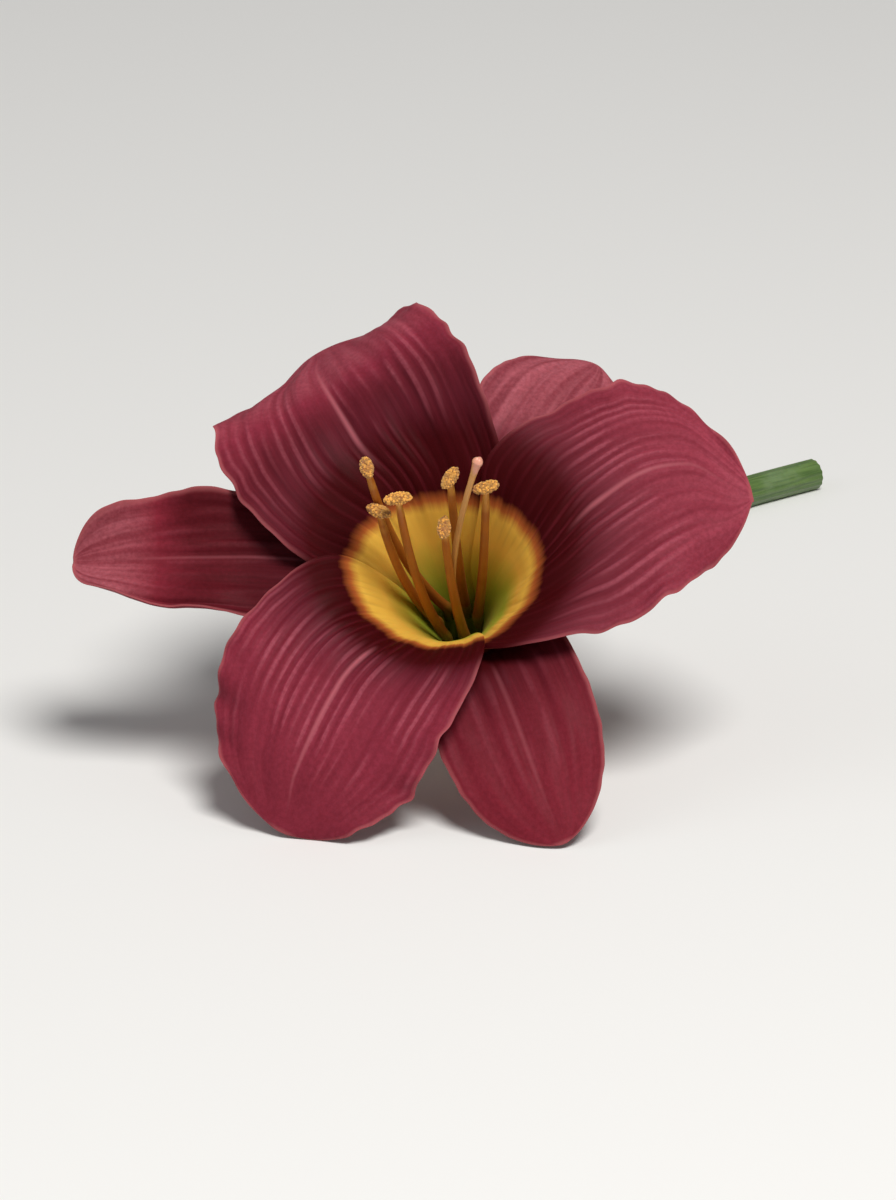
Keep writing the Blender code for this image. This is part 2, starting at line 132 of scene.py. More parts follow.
@dataclass
class Tepal:
    """One petal or sepal. Angles are in degrees; the face's right is 0 and its top is 90.

    Along it, s runs from 0 at the root to 1 at the end. Across it, u runs from -1 to 1.
    """

    piece: str
    node: str
    azimuth: float
    length: float
    half_width: float
    turn: float  # where the funnel turns into the open part
    points: tuple  # how pointed the end is on the side where u is below 0, and on the other
    limb_lean: float  # lean of the open part away from the bloom's axis, and then of the end
    tip_lean: float
    cup: float  # bow across the open part towards the face, and then across the end
    curl: float
    phase: float  # where the edge's waves start
    swing: float  # how far the end swings round the axis
    twist: float  # how far the end turns about the midrib
    skew: float  # how far the open part lies to one side, as a share of the width
    painted_light_and_shade: tuple  # painted light, and below 0 painted shade: how much paler or darker the middle and the end are
    seed: float
    slot: str
    root_radius: float
    root_share: float  # width of the root, as a share of the full width
    widest: float
    ruffle: float  # height of the edge's waves, and how many of them run along each edge
    waves: float
    pleat: float  # height of the broad ribs
    crimp: float  # height of the fine ripple in the edge, and how many of them run along it
    crimps: float
    notch: float  # depth of the edge's fine notches, as a share of the width
    share: float  # half width at the mouth, in radians round the axis
    share_gain: float  # what is added to it past the mouth
    columns: int
    rows: int
    veins: float
    folds: float
    end_span: tuple = (0.66, 0.92)  # where the painted tone of the middle gives way to that of the end
    laps: tuple = (0, 0)  # 1 where that edge stands in front of its neighbour in the funnel, and -1 where behind
    creases: tuple = (0.0, 0.0)  # slope of the right and the left half away from the midrib
    lip: float = 0.0  # height of the upturned lip along the lower edge
    shade: float = 0.0  # painted shade: how much darker the half where u is below 0 is
    midrib_shift: float = 0.0  # how far the midrib lies off the middle, as a share of the width


PETAL_FORM = {
    "slot": "petal", "root_radius": PETAL_ROOT_RADIUS, "root_share": 0.5, "widest": 0.60, "ruffle": 2.1 * MM,
    "waves": 3.8, "pleat": 0.34 * MM, "crimp": 0.9 * MM, "crimps": 12.5, "notch": 0.045, "share": 1.13,
    "share_gain": 0.0, "columns": 150, "rows": 200, "veins": 31.0, "folds": 10.3,
}
SEPAL_FORM = {
    "slot": "sepal", "root_radius": SEPAL_ROOT_RADIUS, "root_share": 0.6, "widest": 0.55, "ruffle": 0.9 * MM,
    "waves": 2.2, "pleat": 0.18 * MM, "crimp": 0.3 * MM, "crimps": 6.5, "notch": 0.02, "share": 1.0,
    "share_gain": 0.15, "columns": 84, "rows": 150, "veins": 17.0, "folds": 4.2,
}
# Each tepal's paler or darker middle and end, given below, are painted light and painted shade
PETALS = (
    Tepal(
        piece="top_petal", node="petal_top", azimuth=121, length=57.4 * MM, half_width=21.5 * MM, turn=0.40,
        points=(0.46, 0.80), limb_lean=78, tip_lean=142, cup=0.14, curl=-0.05, phase=0.4, swing=2, twist=-4,
        skew=0.12, creases=(0.26, 0.12), painted_light_and_shade=(-0.76, 0.38), end_span=(0.64, 0.82), laps=(-1, -1), seed=0.0,
        **{**PETAL_FORM, "ruffle": 1.7 * MM, "crimp": 0.5 * MM},
    ),
    Tepal(
        piece="right_petal", node="petal_right", azimuth=1, length=58 * MM, half_width=19.4 * MM, turn=0.43,
        points=(0.95, 0.52), limb_lean=84, tip_lean=102, cup=0.06, curl=-0.12, phase=2.1, swing=15, twist=6,
        skew=0.257, midrib_shift=0.20, painted_light_and_shade=(0.14, 0.18), laps=(-1, 1), seed=3.0,
        **{**PETAL_FORM, "share": 1.22},
    ),
    Tepal(
        piece="lower_left_petal", node="petal_lower_left", azimuth=241, length=58.7 * MM, half_width=19 * MM,
        turn=0.43, points=(0.60, 0.60), limb_lean=87, tip_lean=115, cup=0.04, curl=-0.16, phase=4.0, swing=3,
        twist=-6, skew=-0.12, painted_light_and_shade=(-0.05, -0.50), laps=(1, 1), seed=6.0, **PETAL_FORM,
    ),
)
SEPALS = (
    Tepal(
        piece="left_sepal", node="sepal_left", azimuth=181, length=63.6 * MM, half_width=10.2 * MM, turn=0.355,
        points=(0.50, 0.46), limb_lean=91, tip_lean=92, cup=0.14, curl=0.70, phase=1.95, swing=1, twist=0,
        skew=-0.06, lip=1.8 * MM, painted_light_and_shade=(-0.90, 0.85), shade=0.6, seed=20.0,
        **{**SEPAL_FORM, "ruffle": 1.5 * MM, "waves": 4.2, "pleat": 0.08 * MM},
    ),
    Tepal(
        piece="upper_right_sepal", node="sepal_upper_right", azimuth=61, length=50 * MM, half_width=12 * MM,
        turn=0.35, points=(0.62, 0.42), limb_lean=90, tip_lean=126, cup=-0.05, curl=-0.10, phase=2.5,
        swing=4, twist=0, skew=0.08, painted_light_and_shade=(0.85, 0.95), seed=23.0, **SEPAL_FORM,
    ),
    Tepal(
        piece="lower_right_sepal", node="sepal_lower_right", azimuth=301, length=53.3 * MM,
        half_width=12.5 * MM, turn=0.38, points=(0.62, 0.62), limb_lean=86, tip_lean=104, cup=-0.02, curl=-0.08,
        phase=5.0, swing=-3.5, twist=0, skew=0, painted_light_and_shade=(-0.20, -0.20), seed=26.0, **SEPAL_FORM,
    ),
)
ROOT_SINK = 0.03  # how far a tepal's root runs down into the tube's wall, as a share of its length

# The colour zones: rounder than the mouth is, green low in the throat, and with the dark eye widest at the top, where
# its extra width is painted shade
ZONE_SQUASH = 1.165
HEART_DROP = 4.5 * MM
HEART_SIDE = (0.78, -0.63)  # the green reaches furthest to the lower right
HEART_SPAN = (8.5 * MM, 13 * MM)
EYE_SHADE_DROP = 4.5 * MM
EYE_SHADE_SPAN = (14 * MM, 23 * MM)
# Along a tepal, where its painted light and shade set in
LIGHT_AND_SHADE_SPAN = (0.25, 0.45)
# Where the painted shade on one half of a tepal sets in and fades along it, and across it
SHADE_SPAN = (0.32, 0.48)
SHADE_FADE = (0.68, 0.86)
SHADE_SIDE = (-0.1, 0.7)
# Where the veins and folds stand out along a blade, and how much of them is lost at its edge
LIMB_SPAN = (0.22, 0.5)
LIMB_FADE = (0.70, 0.97)
EDGE_LOSS = 0.5

# Tube outline from foot to rim, then the funnel inside it from throat to floor, as (radius, height) in mm
TUBE_OUTSIDE = (
    (0.0, 0.0), (1.6, 0.0), (2.3, 0.15), (2.7, 0.8), (3.3, 2.7), (3.5, 5.7), (3.85, 9.1), (4.5, 12.9),
    (5.3, 16.3), (5.85, 18.6), (6.12, 20.2), (6.42, 21.8), (6.62, 22.8), (6.42, 22.85),
)
TUBE_INSIDE = (
    (6.12, 21.8), (5.2, 19.8), (4.15, 19.1), (3.75, 18.2), (3.3, 16.4), (2.75, 13.0), (2.25, 9.5), (2.15, 5.0),
    (1.9, 2.9), (1.3, 2.1), (0.0, 2.0),
)
ON_AXIS = 0.01  # in mm, the radius up to which a point is put on the axis
TUBE_SIDES = 96
TUBE_LOBES = 6
TUBE_STREAKS = 3  # half the way round it in half widths of a petal, for its streaks
# The grooves between the tube's ribs: their depth, and where they start and end on the way up
GROOVE_DEPTH = 0.035
GROOVE_SPAN = (0.15, 0.6)
GROOVE_FADE = (0.78, 0.95)
OUTLINE_STEPS = 4

STAMEN_RING_RADIUS = 2.95 * MM
STAMEN_SEAT = (3.12 * MM, 15.4 * MM)
FILAMENT_ROOT_RADIUS = 0.82 * MM
FILAMENT_TIP_RADIUS = 0.58 * MM
FILAMENT_POINT = (0.95, 0.75, 0.4)  # shares of that radius at the last points, which go into the anther
FILAMENT_STEPS = 20
FILAMENT_AIM = Vector((0.68, 0.15, 0.49))  # where each filament heads first, as shares of the way to its tip
FILAMENT_SAG = 2.0 * MM
ANTHER_SIZE = Vector((1.9 * MM, 1.6 * MM, 4.2 * MM))
ANTHER_SIDES = 40
ANTHER_RINGS = 28
# How an anther departs from a ball: a furrow all round it, a split between its lobes and small knobs
ANTHER_FURROW = (0.30, 0.09, 0.6)  # depth, width and how much of it is lost at the ends
ANTHER_SPLIT = (0.10, 0.06)
ANTHER_KNOBS = (0.025, 23, 17)  # height, and number along and across
ANTHER_BODY = (0.94, 0.94, 0.95)  # share of the anther's size that is left under the pollen
ANTHER_RISE = 0.25
STAMENS = (
    (20, Vector((6.8, 7.3, 53)) * MM, 35),
    (75, Vector((2.0, 6.9, 57)) * MM, 70),
    (130, Vector((-10.4, 8.3, 56)) * MM, 110),
    (185, Vector((-8.9, 4.0, 50)) * MM, 150),
    (240, Vector((-5.7, 4.4, 54)) * MM, 20),
    (300, Vector((1.0, 1.5, 51)) * MM, 95),
)

OVARY_OUTLINE = ((0, 0.5), (0.12, 0.85), (0.45, 1.0), (0.8, 0.75), (1.0, 0.4))
OVARY_FOOT = 2.3 * MM
OVARY_RADIUS = 1.6 * MM
OVARY_LENGTH = 8 * MM
STYLE_RADIUS = 0.45 * MM
STYLE_AIM = Vector((0.5, -2.5, 47.3)) * MM
STYLE_STEPS = 28
STYLE_RIB_HEIGHT = 0.05 * MM
STIGMA_RADIUS = 0.8 * MM
STIGMA_FLARE = [STYLE_RADIUS * 1.1, STIGMA_RADIUS * 0.8, STIGMA_RADIUS]  # radii at the style's last points
STIGMA_AT = Vector((6.8, 8.1, 64)) * MM
DOME_TURNS_DEG = (0, 25, 50, 70, 84)  # rings of the small dome at a stem's tip, by their angle over its foot

TUBE_FOOT_RADIUS = 2.3 * MM
PEDICEL_RADIUS = 1.8 * MM
PEDICEL_LENGTH = 13 * MM
SCAPE_RADIUS = 2.5 * MM
SCAPE_LENGTH = 104 * MM
SCAPE_SWING_DEG = 46.0
STALK_BEND_RADIUS = 13 * MM
STALK_STEP = 2.6 * MM
JOINT_SWELL = 0.25
JOINT_SPAN = 3 * MM
THICKEN_SPAN = (7.8 * MM, 14.3 * MM)
SETTLE_SPAN = (5 * MM, 13 * MM)
FLAT_DEPTH = 0.15 * MM
CUT_BACK = 0.12 * MM
CUT_SUPPORTS = (0.9 * MM, 0.25 * MM, 0.06 * MM)  # extra rings behind the cut end that keep its edge crisp
# The hollow cut face's rings, as shares of the radius and depths behind the end
CUT_FACE = (
    (0.985, 0.0), (0.95, 0.02 * MM), (0.86, 0.05 * MM), (0.70, 0.11 * MM), (0.50, 0.19 * MM), (0.28, 0.26 * MM),
    (0.10, 0.29 * MM),
)
STALK_TOP = (0.5 * MM, 0.97)  # how far the stalk runs up into the tube's foot, and its share of the radius there

BRACT_SOLID_THICKNESS = 0.6 * MM
BRACT_FLARE = 0.6
BRACT_BELLY = (0.8, 0.2)  # share of its width that it has throughout, and share that it gains at its middle
BRACT_END = (0.05, 2.6, 0.75)  # least share at the end, how full the end is and how pointed
BRACT_SPREAD_POWER = 2.2  # how late along its length it stands off
BRACT_RELIEF = {
    "thickness": 0.34 * MM, "vein_height": 0.05 * MM, "fold_height": 0.04 * MM, "veins": 13.0, "folds": 3.0,
}
BRACT_GRID = (72, 40)  # rows and columns
BRACT_ROW_CROWDING = 1.3
BRACT_SEAT = CLEARANCE * 1.6  # how far its foot sinks to the stalk, and over what share of the length it comes up again
BRACT_SEAT_SPAN = (0.0, 0.25)
BRACT_WAVE = (0.10 * MM, 19)  # height of the edge's waves, and how fast they follow each other
BRACT_VEIN_SPAN = (0.0, 0.1)
BRACT_VEIN_FADE = (0.9, 1.0)
# Piece, node, point of the stalk, length, half width and how far the tip stands off
BRACTS = (
    ("upper_bract", "bract_upper", 9, 19 * MM, 4.6 * MM, 7 * MM),
    ("lower_bract", "bract_lower", 30, 24 * MM, 4.0 * MM, 6 * MM),
)


# ---------------------------------------------------------------- settings


def length_setting(name, description, default, low, high):
    return FloatProperty(name=name, description=description, default=default, min=low, max=high, unit="LENGTH")


def colour_setting(name, description, default):
    return FloatVectorProperty(
        name=name, description=description, default=default, min=0.0, max=1.0, size=3, subtype="COLOR",
    )


class DaylilyPetalSettings(bpy.types.PropertyGroup):
    """Sizes and colours of the petals and sepals."""

    thickness: length_setting("Thickness", "Thickness of a petal at its middle", 0.42 * MM, 0.1 * MM, 0.7 * MM)
    vein_height: length_setting("Vein height", "Height of the fine lengthwise veins", 0.06 * MM, 0, 0.3 * MM)
    fold_height: length_setting("Fold height", "Height of the soft pleats between them", 0.16 * MM, 0, 0.6 * MM)
    limb: colour_setting("Limb", "Open part of a petal", (0.260, 0.030, 0.055))
    sepal: colour_setting("Sepal", "Open part of a sepal", (0.200, 0.0185, 0.033))
    # Painted highlight on the tops of the pleats
    ridge_highlight: colour_setting("Ridge", "Top of a pleat, where the velvet catches the light", (0.50, 0.125, 0.170))
    # Bloom is the colour of a tepal's painted light, mixed in where its tone is above 0
    bloom: colour_setting("Bloom", "Paler parts of a petal or sepal", (0.455, 0.118, 0.148))
    eye: colour_setting("Eye", "Dark zone round the throat", (0.037, 0.0011, 0.0020))
    border: colour_setting("Border", "Blurred edge between eye and throat", (0.38, 0.095, 0.022))
    throat: colour_setting("Throat", "Golden inside of the funnel", (0.82, 0.48, 0.070))
    heart: colour_setting("Heart", "Green at the bottom of the throat", (0.34, 0.40, 0.030))
    rim: colour_setting("Rim", "Paler edge of a petal", (0.42, 0.11, 0.12))
    midrib: colour_setting("Midrib", "Pale line along the middle of a petal", (0.52, 0.15, 0.18))


class DaylilyStamenSettings(bpy.types.PropertyGroup):
    """Sizes and colours of the stamens, the style and the tube."""

    pollen_density: IntProperty(
        name="Pollen density", description="Pollen grains per square millimetre of anther", default=14, min=0, max=60,
    )
    pollen_size: length_setting("Pollen size", "Radius of a clump of pollen", 0.21 * MM, 0.02 * MM, 0.3 * MM)
    filament: colour_setting("Filament", "Stalk of a stamen", (0.34, 0.098, 0.010))
    pollen: colour_setting("Pollen", "Pollen and anthers", (0.74, 0.35, 0.050))
    style: colour_setting("Style", "Long style that carries the stigma", (0.62, 0.30, 0.08))
    stigma: colour_setting("Stigma", "Tip of the style", (0.80, 0.36, 0.26))
    tube: colour_setting("Tube", "Outside of the tube", (0.30, 0.33, 0.045))


class DaylilyStalkSettings(bpy.types.PropertyGroup):
    """Sizes and colours of the stalk and its bracts."""

    ribs: IntProperty(name="Ribs", description="Fine ribs round the scape", default=14, min=0, max=40)
    rib_height: length_setting("Rib height", "Height of the ribs", 0.05 * MM, 0, 0.2 * MM)
    green: colour_setting("Green", "Skin of the scape", (0.105, 0.175, 0.045))
    shade: colour_setting("Shaded green", "Darker streaks in the skin", (0.045, 0.095, 0.020))
    pith: colour_setting("Pith", "Inside of the scape, at its cut end", (0.52, 0.60, 0.30))
    bract: colour_setting("Bract", "Face of a bract", (0.12, 0.20, 0.045))
    bract_tip: colour_setting("Bract tip", "Papery tip and edge of a bract", (0.36, 0.25, 0.10))


class DaylilyStageSettings(bpy.types.PropertyGroup):
    """Floor, light and camera."""

    floor: colour_setting("Floor", "Plain pale floor", (0.86, 0.86, 0.85))
    key_power: FloatProperty(
        name="Key light", description="Power of the large soft light", default=22.0, min=0, max=100, unit="POWER",
    )
    fill_power: FloatProperty(
        name="Fill light", description="Power of the light opposite it", default=2.0, min=0, max=100, unit="POWER",
    )
    room_light: FloatProperty(name="Room light", description="Even light all round", default=0.19, min=0, max=3)
    azimuth: FloatProperty(
        name="Azimuth", description="Camera's way round the bloom", default=math.radians(8), subtype="ANGLE",
    )
    elevation: FloatProperty(
        name="Elevation", description="Camera's height over the floor", default=math.radians(21), subtype="ANGLE",
    )
    distance: length_setting("Distance", "From the camera to the bloom", 1.1, 0.2, 5)
    view_width: length_setting("View width", "Width of the picture at the bloom", 134 * MM, 50 * MM, 1)


SETTINGS = (
    ("daylily_petals", DaylilyPetalSettings),
    ("daylily_stamens", DaylilyStamenSettings),
    ("daylily_stalk", DaylilyStalkSettings),
    ("daylily_stage", DaylilyStageSettings),
)


# ---------------------------------------------------------------- node trees


NODES_IN_ROW = 24
NODE_SPACING = (190, 240)
SOCKET_TYPES = {float: "NodeSocketFloat", int: "NodeSocketInt"}

# A blade's folds wander to the side and come and go in patches, and its veins are narrow crests
FOLD_WAVER = 0.15
PATCH_SEED = 7.0
PATCH_SPAN = (0.36, 0.66, 0.25, 1.0)
VEIN_POWER = 2.5
VEIN_SINK = 0.4
EDGE_WIDTH = 0.9 * MM
MERGE_DISTANCE = 0.0002 * MM

POLLEN_SIZES = (0.5, 1.25)
POLLEN_TONE_SEED = 5

# How far veins and bands stretch along a blade, and how many bands there are to a vein
VEIN_STRETCH = 3.0
BAND_STRETCH = 1.4
BAND_SHARE = 0.22


def socket_named(sockets, key):
    """A socket by its index, or the first one in use that has the name."""
    if isinstance(key, int):
        return sockets[key]
    return next(s for s in sockets if s.name == key and s.enabled)


class Wiring:
    """Adds nodes to one tree. A value that is a socket is joined, and any other is set."""

    def __init__(self, tree):
        self.tree = tree

    def put(self, socket, value):
        if isinstance(value, bpy.types.NodeSocket):
            self.tree.links.new(value, socket)
        else:
            socket.default_value = value

    def add(self, kind, values=None, **options):
        made = self.tree.nodes.new(kind)
        row, column = divmod(len(self.tree.nodes), NODES_IN_ROW)
        made.location = (NODE_SPACING[0] * column, -NODE_SPACING[1] * row)
        for option, value in options.items():
            setattr(made, option, value)
        for key, value in (values or {}).items():
            self.put(socket_named(made.inputs, key), value)
        return made

    def maths(self, operation, a, b=0.0, clamp=False):
        return self.add("ShaderNodeMath", {0: a, 1: b}, operation=operation, use_clamp=clamp).outputs[0]

    def sum_of(self, a, b):
        return self.maths("ADD", a, b)

    def times(self, product, *factors):
        for factor in factors:
            product = self.maths("MULTIPLY", product, factor)
        return product

    def sway(self, value, amount):
        """A value between 0 and 1 as a swing of that amount about 0."""
        return self.times(self.sum_of(value, -0.5), amount)

    def span(self, value, low, high, start=0.0, end=1.0, interpolation="SMOOTHSTEP"):
        values = {"Value": value, "From Min": low, "From Max": high, "To Min": start, "To Max": end}
        return self.add("ShaderNodeMapRange", values, interpolation_type=interpolation).outputs["Result"]

    def vector(self, x=0.0, y=0.0, z=0.0):
        return self.add("ShaderNodeCombineXYZ", {0: x, 1: y, 2: z}).outputs[0]

    def here(self):
        """The place of a point in its own object."""
        return self.add("ShaderNodeTexCoord").outputs["Object"]

    def noise(self, vector, scale, detail=2.0, roughness=0.5):
        values = {"Vector": vector, "Scale": scale, "Detail": detail, "Roughness": roughness}
        return socket_named(self.add("ShaderNodeTexNoise", values).outputs, 0)

    def patches(self, per_metre, low, high, detail=2.0, roughness=0.5):
        """Soft patches over the object, from 0 where its noise is low to 1 where it is high."""
        return self.span(self.noise(self.here(), per_metre, detail, roughness), low, high)

    def random(self, low, high, seed):
        made = self.add("FunctionNodeRandomValue", {2: low, 3: high, "Seed": seed}, data_type="FLOAT")
        return socket_named(made.outputs, "Value")

    def mix(self, factor, a, b, blend="MIX"):
        """Colour a, with colour b where the factor is 1."""
        a, b = (c if isinstance(c, bpy.types.NodeSocket) else rgba(c) for c in (a, b))
        return self.add("ShaderNodeMix", {0: factor, 6: a, 7: b}, data_type="RGBA", blend_type=blend).outputs[2]

    def ramp(self, factor, stops):
        made = self.add("ShaderNodeValToRGB", {"Fac": factor})
        elements = made.color_ramp.elements
        while len(elements) < len(stops):
            elements.new(0.5)
        for element, (position, _) in zip(elements, stops):
            element.position = position
        for element, (_, colour) in zip(elements, stops):
            element.color = rgba(colour)
        return made.outputs["Color"]

    def scalar(self, name):
        """A named float attribute of the mesh."""
        if self.tree.bl_idname == "GeometryNodeTree":
            made = self.add("GeometryNodeInputNamedAttribute", {"Name": name}, data_type="FLOAT")
            return socket_named(made.outputs, "Attribute")
        return self.add("ShaderNodeAttribute", attribute_name=name).outputs["Fac"]

    def stored(self, geometry, name, value):
        """The geometry with a named float attribute on its points."""
        values = {"Geometry": geometry, "Name": name, "Value": value}
        return self.add("GeometryNodeStoreNamedAttribute", values, data_type="FLOAT", domain="POINT").outputs[0]

    def pushed(self, geometry, height):
        """The geometry with its points moved outwards."""
        normal = self.add("GeometryNodeInputNormal").outputs[0]
        offset = self.add("ShaderNodeVectorMath", {0: normal, "Scale": height}, operation="SCALE").outputs[0]
        return self.add("GeometryNodeSetPosition", {"Geometry": geometry, "Offset": offset}).outputs[0]

    def joined(self, *parts):
        made = self.add("GeometryNodeJoinGeometry")
        for part in parts:
            self.tree.links.new(part, made.inputs[0])
        return made.outputs[0]


def rgba(colour):
    return (*colour[:3], 1.0)


def scaled(colour, factor):
    return [min(1.0, c * factor) for c in colour]


def group_tree(name, kind, inputs, outputs):
    """A node group with named sockets. An input is given by its default, or by its type where it has none."""
    tree = bpy.data.node_groups.new(name, kind)
    for label, value in inputs.items():
        socket_type = SOCKET_TYPES.get(type(value), value)
        socket = tree.interface.new_socket(label, in_out="INPUT", socket_type=socket_type)
        if socket_type != value:
            socket.default_value = value
    for label, socket_type in outputs.items():
        tree.interface.new_socket(label, in_out="OUTPUT", socket_type=socket_type)
    w = Wiring(tree)
    return w, w.add("NodeGroupInput").outputs, w.add("NodeGroupOutput").inputs


def shared_tree(name, build):
    """The node group of that name, built the first time it is asked for."""
    return bpy.data.node_groups.get(name) or build(name)


def titled(values):
    """The same values by their sockets' names."""
    return {key.replace("_", " ").title(): value for key, value in values.items()}


def modifier_tree(name, **numbers):
    """A tree that takes a geometry, the numbers named and a material, and gives a geometry."""
    inputs = {"Geometry": "NodeSocketGeometry", **titled(numbers), "Material": "NodeSocketMaterial"}
    return group_tree(name, "GeometryNodeTree", inputs, {"Geometry": "NodeSocketGeometry"})


def finish_tree(w, geometry, given, result):
    real = w.add("GeometryNodeRealizeInstances", {"Geometry": geometry}).outputs[0]
    shaded = w.add("GeometryNodeSetShadeSmooth", {"Geometry": real}).outputs[0]
    values = {"Geometry": shaded, "Material": given["Material"]}
    w.put(result["Geometry"], w.add("GeometryNodeSetMaterial", values).outputs[0])
    return w.tree


def blade_tree(name):
    """Veins and pleats a thin surface along its length, and thickens it into a closed blade with a fine edge."""
    w, given, result = modifier_tree(
        name, thickness=0.4 * MM, vein_height=0.05 * MM, fold_height=0.2 * MM, veins=30.0, folds=6.0, seed=0.0,
    )
    along, across, rim, limb = (w.scalar(k) for k in ("along", "across", "rim", "limb"))
    waver_at = w.vector(w.times(across, 1.3), w.times(along, 1.9), given["Seed"])
    place = w.sum_of(across, w.sway(w.noise(waver_at, 1.6, 1.0), FOLD_WAVER))
    patch_at = w.vector(w.times(across, 2.2), w.times(along, 3.1), w.sum_of(given["Seed"], PATCH_SEED))
    open_patch = w.times(limb, w.span(w.noise(patch_at, 1.7, 1.0), *PATCH_SPAN))
    fold_wave = w.maths("SINE", w.times(place, given["Folds"], 2 * math.pi))
    folds = w.times(fold_wave, given["Fold Height"], open_patch)
    vein_wave = w.maths("SINE", w.times(place, given["Veins"], math.pi))
    vein = w.maths("POWER", w.maths("ABSOLUTE", vein_wave), VEIN_POWER)
    veins = w.times(w.sum_of(vein, -VEIN_SINK), given["Vein Height"], limb)
    edge = w.maths("SQRT", w.span(rim, 0.0, EDGE_WIDTH, interpolation="LINEAR"))
    half = w.times(edge, given["Thickness"], 0.5)

    marked = w.stored(given["Geometry"], "fold", w.times(fold_wave, open_patch))
    surface = w.pushed(marked, w.sum_of(folds, veins))
    face = w.stored(w.pushed(surface, half), "side", 1.0)
    back = w.stored(w.pushed(surface, w.times(half, -1.0)), "side", 0.0)
    back = w.add("GeometryNodeFlipFaces", {"Mesh": back}).outputs[0]
    values = {"Geometry": w.joined(back, face), "Distance": MERGE_DISTANCE}
    return finish_tree(w, w.add("GeometryNodeMergeByDistance", values).outputs[0], given, result)


def stem_tree(name):
    """Sweeps a round section along a line of points, with fine ribs round it."""
    w, given, result = modifier_tree(name, sides=24, steps=4, ribs=0, rib_height=0.0)
    curve = w.add("GeometryNodeMeshToCurve", {"Mesh": given["Geometry"]}).outputs[0]
    curve = w.add("GeometryNodeCurveSplineType", {"Curve": curve}, spline_type="CATMULL_ROM").outputs[0]
    curve = w.add("GeometryNodeSetSplineResolution", {0: curve, "Resolution": given["Steps"]}).outputs[0]
    circle = w.add("GeometryNodeCurvePrimitiveCircle", {"Resolution": given["Sides"], "Radius": 1.0}).outputs[0]
    ring = w.stored(circle, "around", w.add("GeometryNodeSplineParameter").outputs["Factor"])
    values = {"Curve": curve, "Profile Curve": ring, "Scale": w.scalar("thick"), "Fill Caps": True}
    swept = w.add("GeometryNodeCurveToMesh", values).outputs[0]
    wave = w.maths("COSINE", w.times(w.scalar("around"), given["Ribs"], 2 * math.pi))
    ribbed = w.pushed(swept, w.times(wave, given["Rib Height"], w.scalar("core")))
    return finish_tree(w, ribbed, given, result)


def pollen_tree(name):
    """Covers a surface with small clumps of pollen."""
    w, given, result = modifier_tree(name, density=16.0, size=0.1 * MM, seed=0)
    density = w.times(given["Density"], 1 / MM**2, w.scalar("dusty"))
    values = {"Mesh": given["Geometry"], "Density": density, "Seed": given["Seed"]}
    spots = w.add("GeometryNodeDistributePointsOnFaces", values, distribute_method="RANDOM").outputs["Points"]
    spots = w.stored(spots, "tone", w.random(0.0, 1.0, POLLEN_TONE_SEED))
    clump = w.add("GeometryNodeMeshIcoSphere", {"Radius": given["Size"], "Subdivisions": 1}).outputs[0]
    values = {"Points": spots, "Instance": clump, "Scale": w.random(*POLLEN_SIZES, given["Seed"])}
    clumps = w.add("GeometryNodeInstanceOnPoints", values).outputs[0]
    return finish_tree(w, w.joined(clumps, given["Geometry"]), given, result)


def streak_tree(name):
    """Fine lengthwise streaks on a blade: narrow veins, broader bands, and a drifting mottle."""
    outputs = dict.fromkeys(("Vein", "Band", "Mottle", "Speckle"), "NodeSocketFloat")
    w, given, result = group_tree(name, "ShaderNodeTree", {"Veins": 30.0, "Drift": 0.0}, outputs)
    along, across = w.scalar("along"), w.scalar("across")
    bands = w.times(given["Veins"], BAND_SHARE)
    vein_at = w.vector(w.times(across, given["Veins"]), w.times(along, VEIN_STRETCH), given["Drift"])
    band_at = w.vector(w.times(across, bands), w.times(along, BAND_STRETCH), given["Drift"])
    w.put(result["Vein"], w.span(w.noise(vein_at, 1.0, 3.0, 0.6), 0.30, 0.70))
    w.put(result["Band"], w.span(w.noise(band_at, 1.0), 0.32, 0.68))
    w.put(result["Mottle"], w.patches(90.0, 0.30, 0.70, 3.0, 0.55))
    w.put(result["Speckle"], w.patches(1500.0, 0.30, 0.70, 3.0, 0.65))
    return w.tree


def grain_tree(name):
    """Tiny cells and soft dents in a plant's skin, as a normal."""
    outputs = {"Normal": "NodeSocketVector", "Cell": "NodeSocketFloat"}
    w, given, result = group_tree(name, "ShaderNodeTree", {"Cell Size": 0.25 * MM, "Depth": 0.2}, outputs)
    scale = w.maths("DIVIDE", 1.0, given["Cell Size"])
    cells = w.add("ShaderNodeTexVoronoi", {"Vector": w.here(), "Scale": scale}, feature="SMOOTH_F1").outputs[0]
    dents = w.noise(w.here(), w.times(scale, 0.22), 3.0, 0.6)
    height = w.sum_of(w.times(cells, 0.6), dents)
    values = {"Strength": given["Depth"], "Distance": 0.1 * MM, "Height": height}
    w.put(result["Normal"], w.add("ShaderNodeBump", values).outputs[0])
    w.put(result["Cell"], w.span(cells, 0.1, 0.7))
    return w.tree


# ---------------------------------------------------------------- finishes


@dataclass
class Velvet:
    """How strongly the face of a petal or a sepal shows its veins, the painted shade and highlights on its folds, and
    its midrib.
    """

    veins: float
    drift: float  # where its pattern of streaks starts
    furrow: float  # painted shade at the bottom of a fold and painted highlight on its top: how dark the one is, and how pale the other
    ridge_highlight: float
    line: float  # how pale the midrib is, and its half width as a share of the blade's
    line_width: float
    keel_width: float  # half width of the green midrib outside


PETAL_VELVET = Velvet(veins=34.0, drift=0.0, furrow=0.36, ridge_highlight=0.50, line=0.50, line_width=0.034, keel_width=0.10)
SEPAL_VELVET = Velvet(veins=24.0, drift=5.0, furrow=0.16, ridge_highlight=0.14, line=0.20, line_width=0.05, keel_width=0.16)
